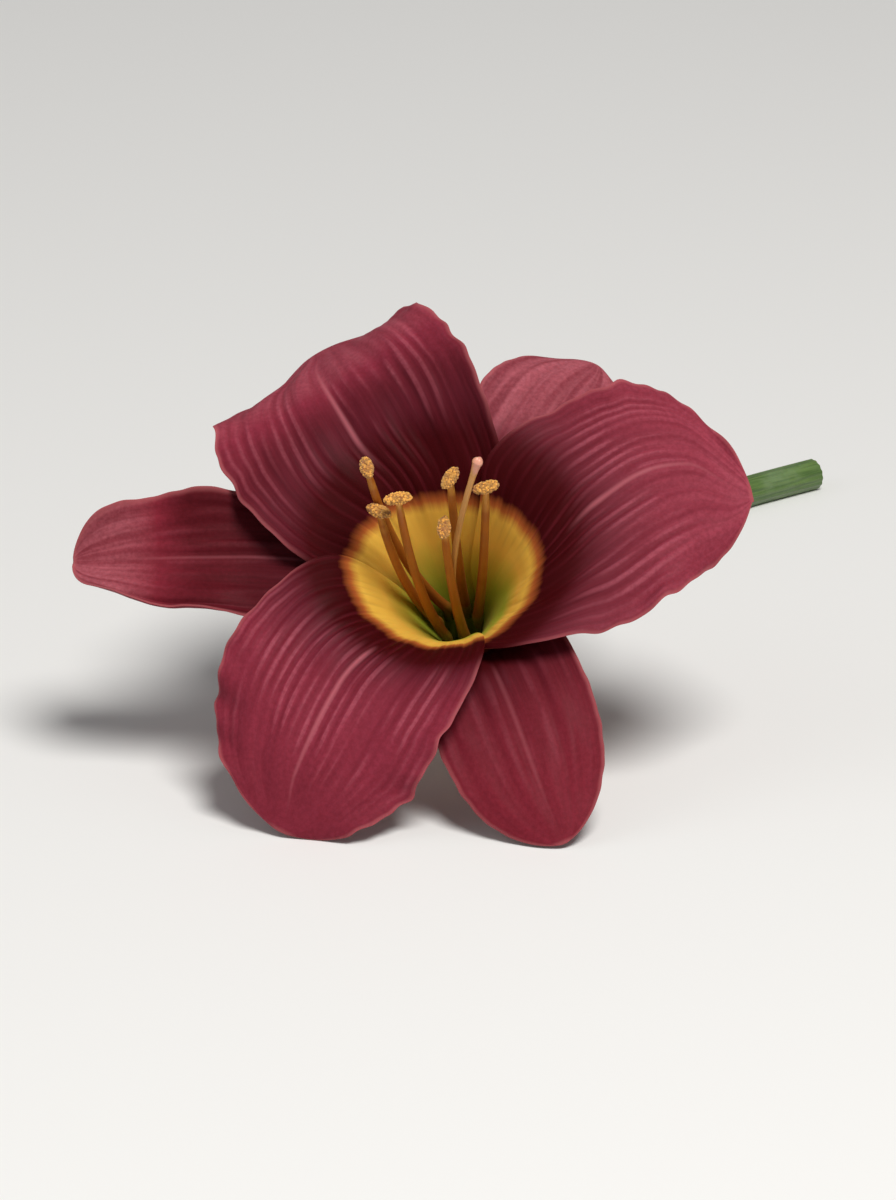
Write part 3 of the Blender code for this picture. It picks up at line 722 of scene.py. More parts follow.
# Colours of the face by distance from the bloom's axis in mm, with how bright each is there
ZONES = (
    (0.0, "heart", 1.0), (5.5, "heart", 1.0), (10.0, "throat", 1.0), (12.9, "throat", 0.95), (14.1, "border", 1.0),
    (15.4, "eye", 1.0), (20.0, "eye", 1.2), (26.0, "limb", 0.45), (33.0, "limb", 0.95), (45.0, "limb", 1.2),
)
ZONE_LIMIT = 60.0
# Distances in mm over which the markings of the open part, its midrib and its rim set in
OPEN_REACH = (18.0, 30.0)
LINE_REACH = (18.0, 24.0)
RIM_REACH = (18.0, 26.0)
RIM_WIDTH = (0.9 * MM, 0.1 * MM)
DARK_SHARES = (0.50, 0.38, 0.36)  # how much of the limb's red, green and blue its dark markings keep
PAINTED_SHADE_SHARES = (0.50, 0.42, 0.40)  # how much of them the painted shade keeps where a tepal's tone is below 0
# Colours of the outside by share of the length: green at the tube, then gold and rose, then the limb's own
OUTSIDE = (
    (0.0, (0.34, 0.33, 0.045)), (0.14, (0.46, 0.34, 0.05)), (0.30, (0.52, 0.20, 0.06)), (0.44, (0.33, 0.065, 0.06)),
)
OUTSIDE_LIMB_AT = 0.60
KEEL = (0.34, 0.24, 0.05)


def new_finish(name, uniform):
    """An empty material whose Principled shader has its uniform values on its own sockets."""
    material = bpy.data.materials.new(name)
    material.use_nodes = True
    for socket, value in uniform.items():
        material.node_tree.nodes["Principled BSDF"].inputs[socket].default_value = value
    return material, Wiring(material.node_tree)


def finished(material, colour, roughness=None, grain=None):
    """Joins what changes over the surface to the material's shader."""
    w = Wiring(material.node_tree)
    shader = material.node_tree.nodes["Principled BSDF"].inputs
    w.put(shader["Base Color"], colour)
    if grain:
        w.put(shader["Roughness"], roughness)
        w.put(shader["Normal"], grain["Normal"])
    return material


def use_group(w, name, build, **values):
    return w.add("ShaderNodeGroup", titled(values), node_tree=shared_tree(name, build)).outputs


def streaks_on(w, veins, drift):
    return use_group(w, "petal streaks", streak_tree, veins=veins, drift=drift)


def grain_on(w, cell_size, depth):
    return use_group(w, "skin grain", grain_tree, cell_size=cell_size, depth=depth)


def tepal_finish(name, colours, limb, velvet):
    """Velvety limb, dark eye, golden throat with a green heart, pale midrib and rim, and a yellow-green back."""
    material, w = new_finish(name, {
        "Specular IOR Level": 0.05, "Sheen Weight": 0.03, "Sheen Roughness": 0.4, "Sheen Tint": (0.8, 0.25, 0.3, 1.0),
        "Subsurface Weight": 0.18, "Subsurface Scale": 0.5 * MM, "Subsurface Radius": (1.0, 0.25, 0.2),
    })
    streaks = streaks_on(w, velvet.veins, velvet.drift)
    along, across, reach, side, fold = (w.scalar(k) for k in ("along", "across", "reach", "side", "fold"))
    off_middle = w.maths("ABSOLUTE", across)
    open_part = w.span(reach, *OPEN_REACH)
    dark = [c * share for c, share in zip(limb, DARK_SHARES)]

    # Colour zones, feathered along the veins
    feather = w.sum_of(w.sway(streaks["Vein"], 0.2), w.sway(streaks["Band"], 0.4))
    face = w.ramp(w.maths("DIVIDE", w.sum_of(reach, feather), ZONE_LIMIT, clamp=True), [
        (distance / ZONE_LIMIT, scaled(limb if key == "limb" else getattr(colours, key), brightness))
        for distance, key, brightness in ZONES
    ])

    # Painted light where the tepal's tone is above 0, then streaks, folds and mottle, then painted shade where the tone
    # is below 0
    tone = w.times(w.scalar("tone"), open_part, w.span(streaks["Band"], 0.0, 1.0, 1.25, 0.75))
    face = w.mix(w.maths("MAXIMUM", tone, 0.0), face, colours.bloom)
    face = w.mix(w.times(streaks["Band"], open_part, 0.35), face, dark)
    face = w.mix(w.times(streaks["Vein"], open_part, 0.18), face, scaled(limb, 1.5))
    # Painted shade in the bottoms of the folds, and a painted highlight on their tops
    face = w.mix(w.times(w.span(fold, 0.1, -0.9), velvet.furrow), face, dark)
    face = w.mix(w.times(w.span(fold, 0.1, 0.95), open_part, velvet.ridge_highlight), face, colours.ridge_highlight)
    face = w.mix(w.times(streaks["Mottle"], open_part, 0.14), face, dark)
    face = w.mix(w.times(streaks["Speckle"], open_part, 0.34), face, dark)
    # Painted shade where the tone is below 0
    face = w.mix(w.maths("MAXIMUM", w.times(tone, -1.0), 0.0), face, PAINTED_SHADE_SHARES, "MULTIPLY")

    # A pale line along the middle, clearest halfway out, and a paler rim
    line = w.times(w.span(off_middle, velvet.line_width, 0.0), w.span(reach, *LINE_REACH), w.span(along, 0.98, 0.72))
    face = w.mix(w.times(line, velvet.line), face, colours.midrib)
    rim = w.times(w.span(w.scalar("rim"), *RIM_WIDTH), w.span(reach, *RIM_REACH))
    face = w.mix(w.times(rim, 0.55), face, colours.rim)

    # Outside: a duller limb with a green midrib
    stops = (*OUTSIDE, (OUTSIDE_LIMB_AT, scaled(limb, 0.95)))
    outside = w.ramp(w.sum_of(along, w.sway(streaks["Vein"], 0.08)), stops)
    outer_band = w.times(streaks["Band"], w.span(along, 0.02, 0.30, 0.0, 0.35))
    outside = w.mix(outer_band, outside, scaled(limb, 0.6))
    keel = w.times(w.span(off_middle, velvet.keel_width, 0.0), w.span(along, 0.95, 0.4))
    outside = w.mix(w.times(keel, 0.55), outside, KEEL)
    outside = w.mix(w.times(rim, 0.35), outside, colours.rim)
    roughness = w.span(streaks["Mottle"], 0.0, 1.0, 0.50, 0.66)
    return finished(material, w.mix(side, outside, face), roughness, grain_on(w, 0.22 * MM, 0.25))


def tube_finish(colours, petals):
    """Yellow-green skin that warms towards the rim, and a green inside."""
    material, w = new_finish("tube skin", {
        "Specular IOR Level": 0.18, "Sheen Weight": 0.03, "Subsurface Weight": 0.06, "Subsurface Scale": 0.8 * MM,
    })
    streaks = streaks_on(w, 11.0, 3.0)
    skin = w.ramp(w.sum_of(w.scalar("along"), w.sway(streaks["Vein"], 0.12)), (
        (0.0, (0.13, 0.17, 0.03)),
        (0.35, scaled(colours.tube, 0.85)),
        (0.75, colours.tube),
        (1.0, (0.43, 0.33, 0.048)),
    ))
    skin = w.mix(w.times(streaks["Band"], 0.40), skin, scaled(colours.tube, 0.55))
    skin = w.mix(w.times(streaks["Vein"], 0.22), skin, (0.44, 0.40, 0.08))
    colour = w.mix(w.scalar("inside"), skin, scaled(petals.heart, 0.8))
    return finished(material, colour, w.span(streaks["Mottle"], 0.0, 1.0, 0.36, 0.50), grain_on(w, 0.25 * MM, 0.2))


def stem_finish(name, low, high, tip, roughness):
    """A slim stem that changes colour from its foot to its tip."""
    material, w = new_finish(name, {"Subsurface Weight": 0.1, "Subsurface Scale": 0.6 * MM})
    blotch = w.patches(260.0, 0.3, 0.7, 3.0)
    body = w.ramp(w.sum_of(w.scalar("along"), w.sway(blotch, 0.08)), (
        (0.0, (0.20, 0.22, 0.02)), (0.18, low), (0.80, high), (0.93, high), (0.99, tip),
    ))
    body = w.mix(w.times(blotch, 0.25), body, scaled(low, 0.55))
    roughness = w.span(blotch, 0.0, 1.0, roughness - 0.05, roughness + 0.08)
    return finished(material, body, roughness, grain_on(w, 0.2 * MM, 0.15))


def pollen_finish(colours):
    """Powdery pollen over a browner anther."""
    material, w = new_finish("pollen", {"Sheen Weight": 0.25, "Sheen Roughness": 0.6})
    powder = w.maths("MAXIMUM", w.scalar("tone"), w.times(w.patches(900.0, 0.32, 0.68), 0.5))
    body = w.ramp(powder, (
        (0.0, (0.30, 0.10, 0.015)),
        (0.35, scaled(colours.pollen, 0.6)),
        (0.7, colours.pollen),
        (1.0, scaled(colours.pollen, 1.25)),
    ))
    body = w.mix(w.times(w.patches(420.0, 0.52, 0.72), 0.6), body, (0.34, 0.10, 0.02))
    grain = grain_on(w, 0.09 * MM, 0.6)
    return finished(material, body, w.span(grain["Cell"], 0.0, 1.0, 0.75, 0.92), grain)


def stalk_finish(colours):
    """Waxy, faintly ribbed skin, yellower at the pedicel, and wet pith with its strands at the cut end."""
    material, w = new_finish("stalk skin", {
        "Coat Weight": 0.12, "Coat Roughness": 0.3, "Subsurface Weight": 0.04, "Subsurface Scale": 0.8 * MM,
    })
    along, around, core = (w.scalar(k) for k in ("along", "around", "core"))
    turn = w.times(around, 2 * math.pi)
    ring = w.vector(w.maths("COSINE", turn), w.maths("SINE", turn), w.times(along, 2.6))
    streak = w.span(w.noise(ring, 7.0, 3.0, 0.6), 0.33, 0.67)
    patch = w.span(w.noise(ring, 1.6), 0.3, 0.7)
    pedicel = w.span(along, 0.13, 0.02)
    wax = w.patches(140.0, 0.45, 0.75, 4.0, 0.65)
    skin = w.mix(streak, colours.green, colours.shade)
    skin = w.mix(w.times(patch, 0.35), skin, scaled(colours.green, 1.55))
    skin = w.mix(w.times(pedicel, 0.6), skin, (0.20, 0.24, 0.035))
    skin = w.mix(w.times(wax, 0.22), skin, (0.30, 0.38, 0.26))
    strands = w.patches(2400.0, 0.50, 0.64, 1.0)
    pith = w.mix(w.times(strands, 0.55), colours.pith, scaled(colours.pith, 0.35))
    pith = w.mix(w.span(core, 0.70, 0.90), pith, scaled(colours.green, 1.2))
    colour = w.mix(w.span(core, 0.985, 0.95), skin, pith)
    return finished(material, colour, w.span(wax, 0.0, 1.0, 0.36, 0.60), grain_on(w, 0.3 * MM, 0.25))


def bract_finish(colours):
    """Green, finely veined bract with a papery tip and edge."""
    material, w = new_finish("bract skin", {
        "Sheen Weight": 0.08, "Subsurface Weight": 0.05, "Subsurface Scale": 0.5 * MM,
    })
    streaks = streaks_on(w, 22.0, 11.0)
    along, rim = w.scalar("along"), w.scalar("rim")
    body = w.mix(streaks["Vein"], colours.bract, scaled(colours.bract, 0.55))
    body = w.mix(w.times(streaks["Mottle"], 0.3), body, scaled(colours.bract, 1.5))
    dry = w.maths("MAXIMUM", w.span(along, 0.74, 1.0), w.times(w.span(rim, 0.7 * MM, 0.1 * MM), 0.8))
    dry = w.times(dry, w.span(along, 0.05, 0.3), w.span(streaks["Band"], 0.0, 1.0, 0.75, 1.0))
    colour = w.mix(dry, body, colours.bract_tip)
    return finished(material, colour, w.span(dry, 0.0, 1.0, 0.45, 0.75), grain_on(w, 0.2 * MM, 0.25))


# ---------------------------------------------------------------- forms


def smooth(value, low, high):
    """0 below low, 1 above high, and a smooth rise between them."""
    t = np.clip((value - low) / (high - low), 0.0, 1.0)
    return t * t * (3 - 2 * t)


def shaped(amount, s, span, fade):
    """An amount that sets in along one span and goes again along the other."""
    return amount * smooth(s, *span) * (1 - smooth(s, *fade))


def lean_at(form, s):
    funnel = FUNNEL_LEAN_DEG + (MOUTH_LEAN_DEG - FUNNEL_LEAN_DEG) * smooth(s, 0, form.turn)
    turned = funnel + (form.limb_lean - funnel) * smooth(s - form.turn, *TURN_SPAN)
    return np.radians(turned + (form.tip_lean - form.limb_lean) * smooth(s, *TIP_BEND_SPAN))


def midrib(form, s):
    """Radius, height and lean of the midrib at each s; below 0 it runs straight on into the tube."""
    step = form.length / MIDRIB_STEPS
    middles = lean_at(form, (np.arange(MIDRIB_STEPS) + 0.5) / MIDRIB_STEPS)
    knots = np.arange(MIDRIB_STEPS + 1) / MIDRIB_STEPS
    radius = form.root_radius + np.concatenate(([0], np.cumsum(step * np.sin(middles))))
    height = ROOT_HEIGHT + np.concatenate(([0], np.cumsum(step * np.cos(middles))))
    below = np.minimum(s, 0) * form.length
    lean = lean_at(form, s)
    return np.interp(s, knots, radius) + below * np.sin(lean), np.interp(s, knots, height) + below * np.cos(lean), lean


def half_width(form, s, u, radius):
    rise = np.sin(math.pi / 2 * np.clip(s / form.widest, 0, 1)) ** 2
    width = form.half_width * (form.root_share + (1 - form.root_share) * rise)
    to_tip = np.clip((s - END_START) / (1 - END_START), 0, 1)
    left, right = form.points
    pointed = left + (right - left) * smooth(u, *SIDE_BLEND)
    width = np.maximum(width * (1 - to_tip**END_FULLNESS) ** pointed, NARROWEST)
    share = ROOT_SHARE + (form.share - ROOT_SHARE) * smooth(s, *SHARE_SPAN)
    limit = radius * (share + form.share_gain * smooth(s - form.turn, *GAIN_SPAN))
    return (width**-LIMIT_SHARPNESS + limit**-LIMIT_SHARPNESS) ** (-1 / LIMIT_SHARPNESS)


def relief(form, s, u, width):
    """Height of the surface above its flat cross-section, towards the face."""
    edge = np.abs(u)
    bow = form.cup * smooth(s, *CUP_SPAN) + (form.curl - form.cup) * smooth(s, *CURL_SPAN)
    open_part = smooth(s, *RUFFLE_SPAN) * smooth(width / form.half_width, *RUFFLE_WIDTHS)
    shift = np.where(u > 0, EDGE_SHIFT, 0.0)
    wave = np.sin(2 * math.pi * form.waves * s + form.phase + shift)
    ruffle = form.ruffle * open_part * edge**RUFFLE_POWER * wave
    beat = BEAT["mean"] + BEAT["swing"] * np.sin(BEAT["rate"] * s + form.phase * BEAT["phase"] + BEAT["shift"] * shift)
    ripple = np.sin(2 * math.pi * form.crimps * s + form.phase * CRIMP_PHASE + shift)
    crimp = form.crimp * open_part * beat * edge**CRIMP_POWER * ripple
    lap = LAP * np.where(u < 0, *form.laps) * u * u * smooth(s, *LAP_SPAN) * (1 - smooth(s - form.turn, *LAP_FADE))
    slope = shaped(np.where(u < 0, *form.creases), s, CREASE_SPAN, CREASE_FADE)
    crease = slope * width * (np.sqrt(u * u + CREASE_ROUNDING) - CREASE_SINK)
    depth, place, breadth = LIP_GROOVE
    lip = shaped(form.lip, s, LIP_SPAN, LIP_FADE)
    lip = lip * (smooth(u, *LIP_EDGE) - depth * np.exp(-(((u - place) / breadth) ** 2)))
    rib_height = shaped(form.pleat, s, RIB_SPAN, RIB_FADE) * (1 - u**4)
    return bow * width * u * u + ruffle + crimp + lap + crease + lip - rib_height * np.cos(RIBS_ACROSS * math.pi * u)


def notches(form, s, u):
    """Fine, uneven notches in the two edges, as a share of the width that is left."""
    start = form.phase * NOTCH_START[0] + np.where(u > 0, NOTCH_START[1], 0.0)
    depth = 0.5
    for share, count, shift in NOTCH_WAVES:
        depth = depth + share * np.sin(2 * math.pi * count * s + shift * start)
    return 1 - form.notch * depth * smooth(s, *RUFFLE_SPAN) * np.abs(u) ** 4


def tepal_points(form, s, u):
    """Middle surface of a tepal in the bloom's frame, with its width, for grids of s and u."""
    radius, height, lean = midrib(form, s)
    width = half_width(form, s, u, radius) * notches(form, s, u)
    lift = relief(form, s, u, width)
    out, rise = -np.cos(lean), np.sin(lean)
    aside = (u + shaped(form.skew, s, SKEW_SPAN, SKEW_FADE)) * width
    angle = aside / radius
    wrapped = np.stack((
        (radius + lift * out) * np.cos(angle),
        (radius + lift * out) * np.sin(angle),
        height + lift * rise,
    ))
    turn = math.radians(form.twist) * s * s
    flat = np.stack((
        radius + out * np.sin(turn) * aside + out * np.cos(turn) * lift,
        np.cos(turn) * aside - np.sin(turn) * lift,
        height + rise * np.sin(turn) * aside + rise * np.cos(turn) * lift,
    ))
    x, y, z = wrapped + (flat - wrapped) * smooth(s, *UNROLL_SPAN)
    azimuth = np.radians(form.azimuth + form.swing * smooth(s, *SWING_SPAN))
    points = np.stack((x * np.cos(azimuth) - y * np.sin(azimuth), x * np.sin(azimuth) + y * np.cos(azimuth), z), -1)
    return points, width


def in_world(points):
    turn = np.array(BLOOM.to_3x3())
    return points @ turn.T + np.array(TUBE_FOOT)


def zone_reach(points):
    """Distance in mm from the bloom's axis by which a tepal's face takes its colours."""
    across, up = points[..., 0], points[..., 1]
    radius = np.hypot(across, up)
    reach = np.hypot(across, up * ZONE_SQUASH)
    towards_heart = (across * HEART_SIDE[0] + up * HEART_SIDE[1]) / radius
    reach -= HEART_DROP * np.maximum(towards_heart, 0) ** 2 * (1 - smooth(radius, *HEART_SPAN))
    # Painted shade at the top, where the dark eye reaches further, and lighter at the bottom, where it reaches less far
    reach -= EYE_SHADE_DROP * (up / radius) * smooth(radius, *EYE_SHADE_SPAN)
    return reach / MM


def grid_object(name, points, attributes):
    """A surface object from a grid of points (rows, columns, 3) and named point values of the same grid."""
    rows, columns = points.shape[:2]
    number = np.arange(rows * columns).reshape(rows, columns)
    quads = np.stack((number[:-1, :-1], number[1:, :-1], number[1:, 1:], number[:-1, 1:]), -1).reshape(-1, 4)
    # A corner's quad is split from the corner inwards, so that a blade's two sides share no triangle there
    corners = set(number[[0, 0, -1, -1], [0, -1, 0, -1]].tolist())
    faces = []
    for quad in quads.tolist():
        at = [index for index, vert in enumerate(quad) if vert in corners]
        if at:
            corner, second, inner, last = quad[at[0]:] + quad[:at[0]]
            faces += [[corner, second, inner], [corner, inner, last]]
        else:
            faces.append(quad)
    return mesh_object(name, points.reshape(-1, 3).tolist(), [], faces, attributes)


def mesh_object(name, points, edges, faces, attributes):
    """A mesh object with named float attributes on its points."""
    mesh = bpy.data.meshes.new(name)
    mesh.from_pydata(points, edges, faces)
    for key, values in attributes.items():
        layer = mesh.attributes.new(key, "FLOAT", "POINT")
        layer.data.foreach_set("value", np.ascontiguousarray(values, np.float32).ravel())
    return linked(name, mesh)


def linked(name, data):
    """A new object in the scene for a mesh, a light or a camera."""
    piece = bpy.data.objects.new(name, data)
    bpy.context.scene.collection.objects.link(piece)
    return piece


def grown(piece, tree_name, build, **values):
    """Runs the node tree of that name on an object and puts its result in place of it, as a plain mesh."""
    tree = shared_tree(tree_name, build)
    modifier = piece.modifiers.new(tree_name, "NODES")
    modifier.node_group = tree
    wanted = titled(values)
    for item in tree.interface.items_tree:
        if item.item_type == "SOCKET" and item.in_out == "INPUT" and item.name in wanted:
            modifier[item.identifier] = wanted.pop(item.name)
    if wanted:
        raise KeyError(f"{tree_name} has no inputs named {sorted(wanted)}")
    bpy.context.view_layer.update()
    graph = bpy.context.evaluated_depsgraph_get()
    mesh = bpy.data.meshes.new_from_object(piece.evaluated_get(graph), preserve_all_data_layers=True, depsgraph=graph)
    name = piece.name
    bpy.data.objects.remove(piece)
    mesh.name = name
    return linked(name, mesh)


def placed(piece, node, slot):
    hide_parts(node)
    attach(piece, BODY)
    return piece


def blade_grid(rows, columns, crowding):
    """Places along and across a blade, closer together towards its end and towards its edges."""
    along = 1 - (1 - np.linspace(0, 1, rows + 1)) ** crowding
    across = np.sin(np.linspace(-1, 1, columns + 1) * math.pi / 2)
    return np.meshgrid(along, across, indexing="ij")


def make_tepal(form, settings, finish):
    s, u = blade_grid(form.rows, form.columns, ROW_CROWDING)
    s = s * (1 + ROOT_SINK) - ROOT_SINK
    points, width = tepal_points(form, s, u)
    to_edge = (1 - np.abs(u)) * width
    to_end = np.minimum(1 - s, s + ROOT_SINK) * form.length
    # The tepal's tone: painted light where it is above 0, and painted shade where it is below 0
    middle, end = form.painted_light_and_shade
    tone = (middle + (end - middle) * smooth(s, *form.end_span)) * smooth(s, *LIGHT_AND_SHADE_SPAN)
    surface = grid_object(form.piece, in_world(points), {
        "along": s,
        "across": u - form.midrib_shift * (1 - u * u) * smooth(s, *RUFFLE_SPAN),
        "reach": zone_reach(points),
        "rim": np.minimum(to_edge, to_end),
        "limb": shaped(1.0, s, LIMB_SPAN, LIMB_FADE) * (1 - EDGE_LOSS * np.abs(u) ** 3),
        # Painted shade on the half where u is below 0
        "tone": tone - shaped(form.shade * smooth(-u, *SHADE_SIDE), s, SHADE_SPAN, SHADE_FADE),
    })
    piece = grown(
        surface, "veined blade", blade_tree, thickness=settings.thickness, vein_height=settings.vein_height,
        fold_height=settings.fold_height, veins=form.veins, folds=form.folds, seed=form.seed, material=finish,
    )
    return placed(piece, form.node, form.slot)


def turned_object(name, outline, sides, radius_of, attributes_of):
    """A closed turned form in the bloom's frame from (radius, height) points that start and end on the axis."""
    angles = np.arange(sides) * 2 * math.pi / sides
    verts, faces, values, rings = [], [], [], []
    for index, (radius, height) in enumerate(outline):
        share = index / (len(outline) - 1)
        if radius == 0:
            rings.append([len(verts)])
            verts.append((0, 0, height))
            values.append(attributes_of(share, height, 0.0))
            continue
        rings.append(list(range(len(verts), len(verts) + sides)))
        for angle in angles:
            r = radius_of(radius, height, angle, share)
            verts.append((r * math.cos(angle), r * math.sin(angle), height))
            values.append(attributes_of(share, height, angle))
    for low, high in zip(rings, rings[1:]):
        for i in range(sides):
            j = (i + 1) % sides
            corners = [low[i % len(low)], low[j % len(low)], high[j % len(high)], high[i % len(high)]]
            faces.append(list(dict.fromkeys(corners)))
    attributes = {key: [value[key] for value in values] for key in values[0]}
    piece = mesh_object(name, in_world(np.array(verts)).tolist(), [], faces, attributes)
    bm = bmesh.new()
    bm.from_mesh(piece.data)
    bmesh.ops.recalc_face_normals(bm, faces=bm.faces)
    bm.to_mesh(piece.data)
    bm.free()
    piece.data.shade_smooth()
    return piece


def finer(outline, steps):
    """The same outline with points added on a smooth curve through it."""
    knots = np.array(outline)
    padded = np.vstack((2 * knots[0] - knots[1], knots, 2 * knots[-1] - knots[-2]))
    made = [tuple(knots[0])]
    for a, b, c, d in zip(padded, padded[1:], padded[2:], padded[3:]):
        for t in np.arange(1, steps + 1) / steps:
            point = 0.5 * (2 * b + (c - a) * t + (2 * a - 5 * b + 4 * c - d) * t**2 + (3 * b - a - 3 * c + d) * t**3)
            made.append((max(0.0, point[0]), point[1]))
    made[-1] = tuple(knots[-1])
    return made


def make_tube(stamens, petals):
    outside = finer(TUBE_OUTSIDE, OUTLINE_STEPS)
    outline = [(r * MM if r > ON_AXIS else 0, h * MM) for r, h in outside + finer(TUBE_INSIDE, OUTLINE_STEPS)]
    top = TUBE_OUTSIDE[-2][1] * MM

    def radius_of(radius, height, angle, share):
        groove = 0.5 - 0.5 * math.cos(TUBE_LOBES * angle)
        depth = GROOVE_DEPTH * float(shaped(1.0, height / top, GROOVE_SPAN, GROOVE_FADE))
        return radius * (1 - depth * groove * (share < len(outside) / len(outline)))

    def attributes_of(share, height, angle):
        lined = 1.0 if share > (len(outside) + OUTLINE_STEPS) / len(outline) else 0.0
        return {"along": height / top, "across": TUBE_STREAKS * abs(angle / math.pi - 1), "inside": lined}

    piece = turned_object("flower_tube", outline, TUBE_SIDES, radius_of, attributes_of)
    piece.data.materials.append(tube_finish(stamens, petals))
    return placed(piece, "perianth_tube", "tube")


def stem_object(name, points, radii):
    """A line of points with their radii, for the tree that sweeps stems."""
    edges = [(i, i + 1) for i in range(len(points) - 1)]
    along = np.cumsum([0.0] + [(b - a).length for a, b in zip(points, points[1:])])
    attributes = {"thick": radii, "along": along / along[-1], "core": np.ones(len(points))}
    return mesh_object(name, [tuple(p) for p in points], edges, [], attributes)


def arc_path(start, aim, end, count):
    """Points of the smooth curve that leaves start towards aim and ends at end."""
    points = []
    for i in range(count + 1):
        t = i / count
        points.append(start * (1 - t) ** 2 + aim * (2 * t * (1 - t)) + end * t * t)
    return points


def rounded_end(points, radii, radius):
    """Closes a stem with a small dome at its last point."""
    ahead = (points[-1] - points[-2]).normalized()
    last = points.pop()
    radii.pop()
    for turn in DOME_TURNS_DEG:
        angle = math.radians(turn)
        points.append(last + ahead * (radius * (math.sin(angle) - 1)))
        radii.append(radius * math.cos(angle))


def way_out(angle_deg, rise=0.0):
    """Vector from the bloom's axis at that angle."""
    angle = math.radians(angle_deg)
    return Vector((math.cos(angle), math.sin(angle), rise))


def make_filament(number, azimuth, tip, finish):
    spoke = way_out(azimuth)
    root = spoke * STAMEN_RING_RADIUS + Vector((0, 0, ROOT_HEIGHT))
    seat = spoke * STAMEN_SEAT[0] + Vector((0, 0, STAMEN_SEAT[1]))
    aim = root + (tip - root) * FILAMENT_AIM - Vector((0, FILAMENT_SAG, 0))
    arc = arc_path(root, aim, tip, FILAMENT_STEPS)
    ahead = (arc[-1] - arc[-2]).normalized()
    taper = (FILAMENT_TIP_RADIUS - FILAMENT_ROOT_RADIUS) / FILAMENT_STEPS
    radii = [FILAMENT_ROOT_RADIUS] + [FILAMENT_ROOT_RADIUS + taper * i for i in range(FILAMENT_STEPS + 1)]
    points = [seat] + arc + [tip + ahead * (CLEARANCE * 1.2)]
    radii[-2:] = [FILAMENT_TIP_RADIUS * share for share in FILAMENT_POINT]
    line = stem_object(f"stamen_filament_{number}", [BLOOM @ p for p in points], radii)
    piece = grown(line, "swept stem", stem_tree, sides=20, steps=3, ribs=0, rib_height=0.0, material=finish)
    placed(piece, f"filament_{number}", "filament")
    return ahead


def ball(sides, rings):
    """Points and faces of a closed ball of diameter 1 with its poles on z, always in the same order."""
    verts = [(0.0, 0.0, -0.5)]
    for ring in range(1, rings):
        polar = math.pi * ring / rings
        for side in range(sides):
            turn = 2 * math.pi * side / sides
            reach = 0.5 * math.sin(polar)
            verts.append((reach * math.cos(turn), reach * math.sin(turn), -0.5 * math.cos(polar)))
    verts.append((0.0, 0.0, 0.5))
    faces = []
    for side in range(sides):
        here, beside = 1 + side, 1 + (side + 1) % sides
        faces.append((0, beside, here))
        for ring in range(rings - 2):
            low, high = ring * sides, (ring + 1) * sides
            faces.append((here + low, beside + low, beside + high, here + high))
        low = (rings - 2) * sides
        faces.append((here + low, beside + low, len(verts) - 1))
    return verts, faces


def make_anther(number, tip, ahead, turn_deg, settings, finish):
    """A furrowed anther of two lobes on each side, dusted with pollen."""
    side = way_out(turn_deg, ANTHER_RISE)
    long_way = (side - ahead * side.dot(ahead)).normalized()
    turn = Matrix((ahead.cross(long_way), ahead, long_way)).transposed().to_4x4()
    place = BLOOM @ Matrix.Translation(tip + ahead * (ANTHER_SIZE.y / 2 + CLEARANCE)) @ turn
    verts, faces = ball(ANTHER_SIDES, ANTHER_RINGS)
    furrow, furrow_width, furrow_loss = ANTHER_FURROW
    split, split_width = ANTHER_SPLIT
    knob, along, across = ANTHER_KNOBS
    shaped_verts = []
    for x, y, z in verts:
        in_y = 1 - furrow * math.exp(-((x / furrow_width) ** 2)) * (1 - (2 * z) ** 4 * furrow_loss)
        in_x = 1 - split * math.exp(-((y / split_width) ** 2))
        knobs = 1 + knob * math.sin(along * z + number) * math.sin(across * x + 2 * number)
        shaped_verts.append((
            x * in_x * ANTHER_SIZE.x * ANTHER_BODY[0] * knobs,
            y * in_y * ANTHER_SIZE.y * ANTHER_BODY[1] * knobs,
            z * ANTHER_SIZE.z * ANTHER_BODY[2],
        ))
    body = mesh_object(f"pollen_anther_{number}", shaped_verts, [], faces, {"dusty": np.ones(len(verts))})
    body.data.transform(place)
    piece = grown(
        body, "pollen dust", pollen_tree, density=float(settings.pollen_density), size=settings.pollen_size,
        seed=number, material=finish,
    )
    return placed(piece, f"anther_{number}", "anther")


def make_pistil(finish):
    points = [Vector((0, 0, OVARY_FOOT + along * OVARY_LENGTH)) for along, _ in OVARY_OUTLINE]
    radii = [OVARY_RADIUS * size for _, size in OVARY_OUTLINE]
    style = arc_path(Vector((0, 0, ROOT_HEIGHT)), STYLE_AIM, STIGMA_AT, STYLE_STEPS)
    points += style
    radii += [STYLE_RADIUS] * (len(style) - len(STIGMA_FLARE)) + STIGMA_FLARE
    rounded_end(points, radii, STIGMA_RADIUS)
    line = stem_object("style_and_stigma", [BLOOM @ p for p in points], radii)
    piece = grown(
        line, "swept stem", stem_tree, sides=24, steps=3, ribs=3, rib_height=STYLE_RIB_HEIGHT, material=finish,
    )
    return placed(piece, "pistil", "pistil")


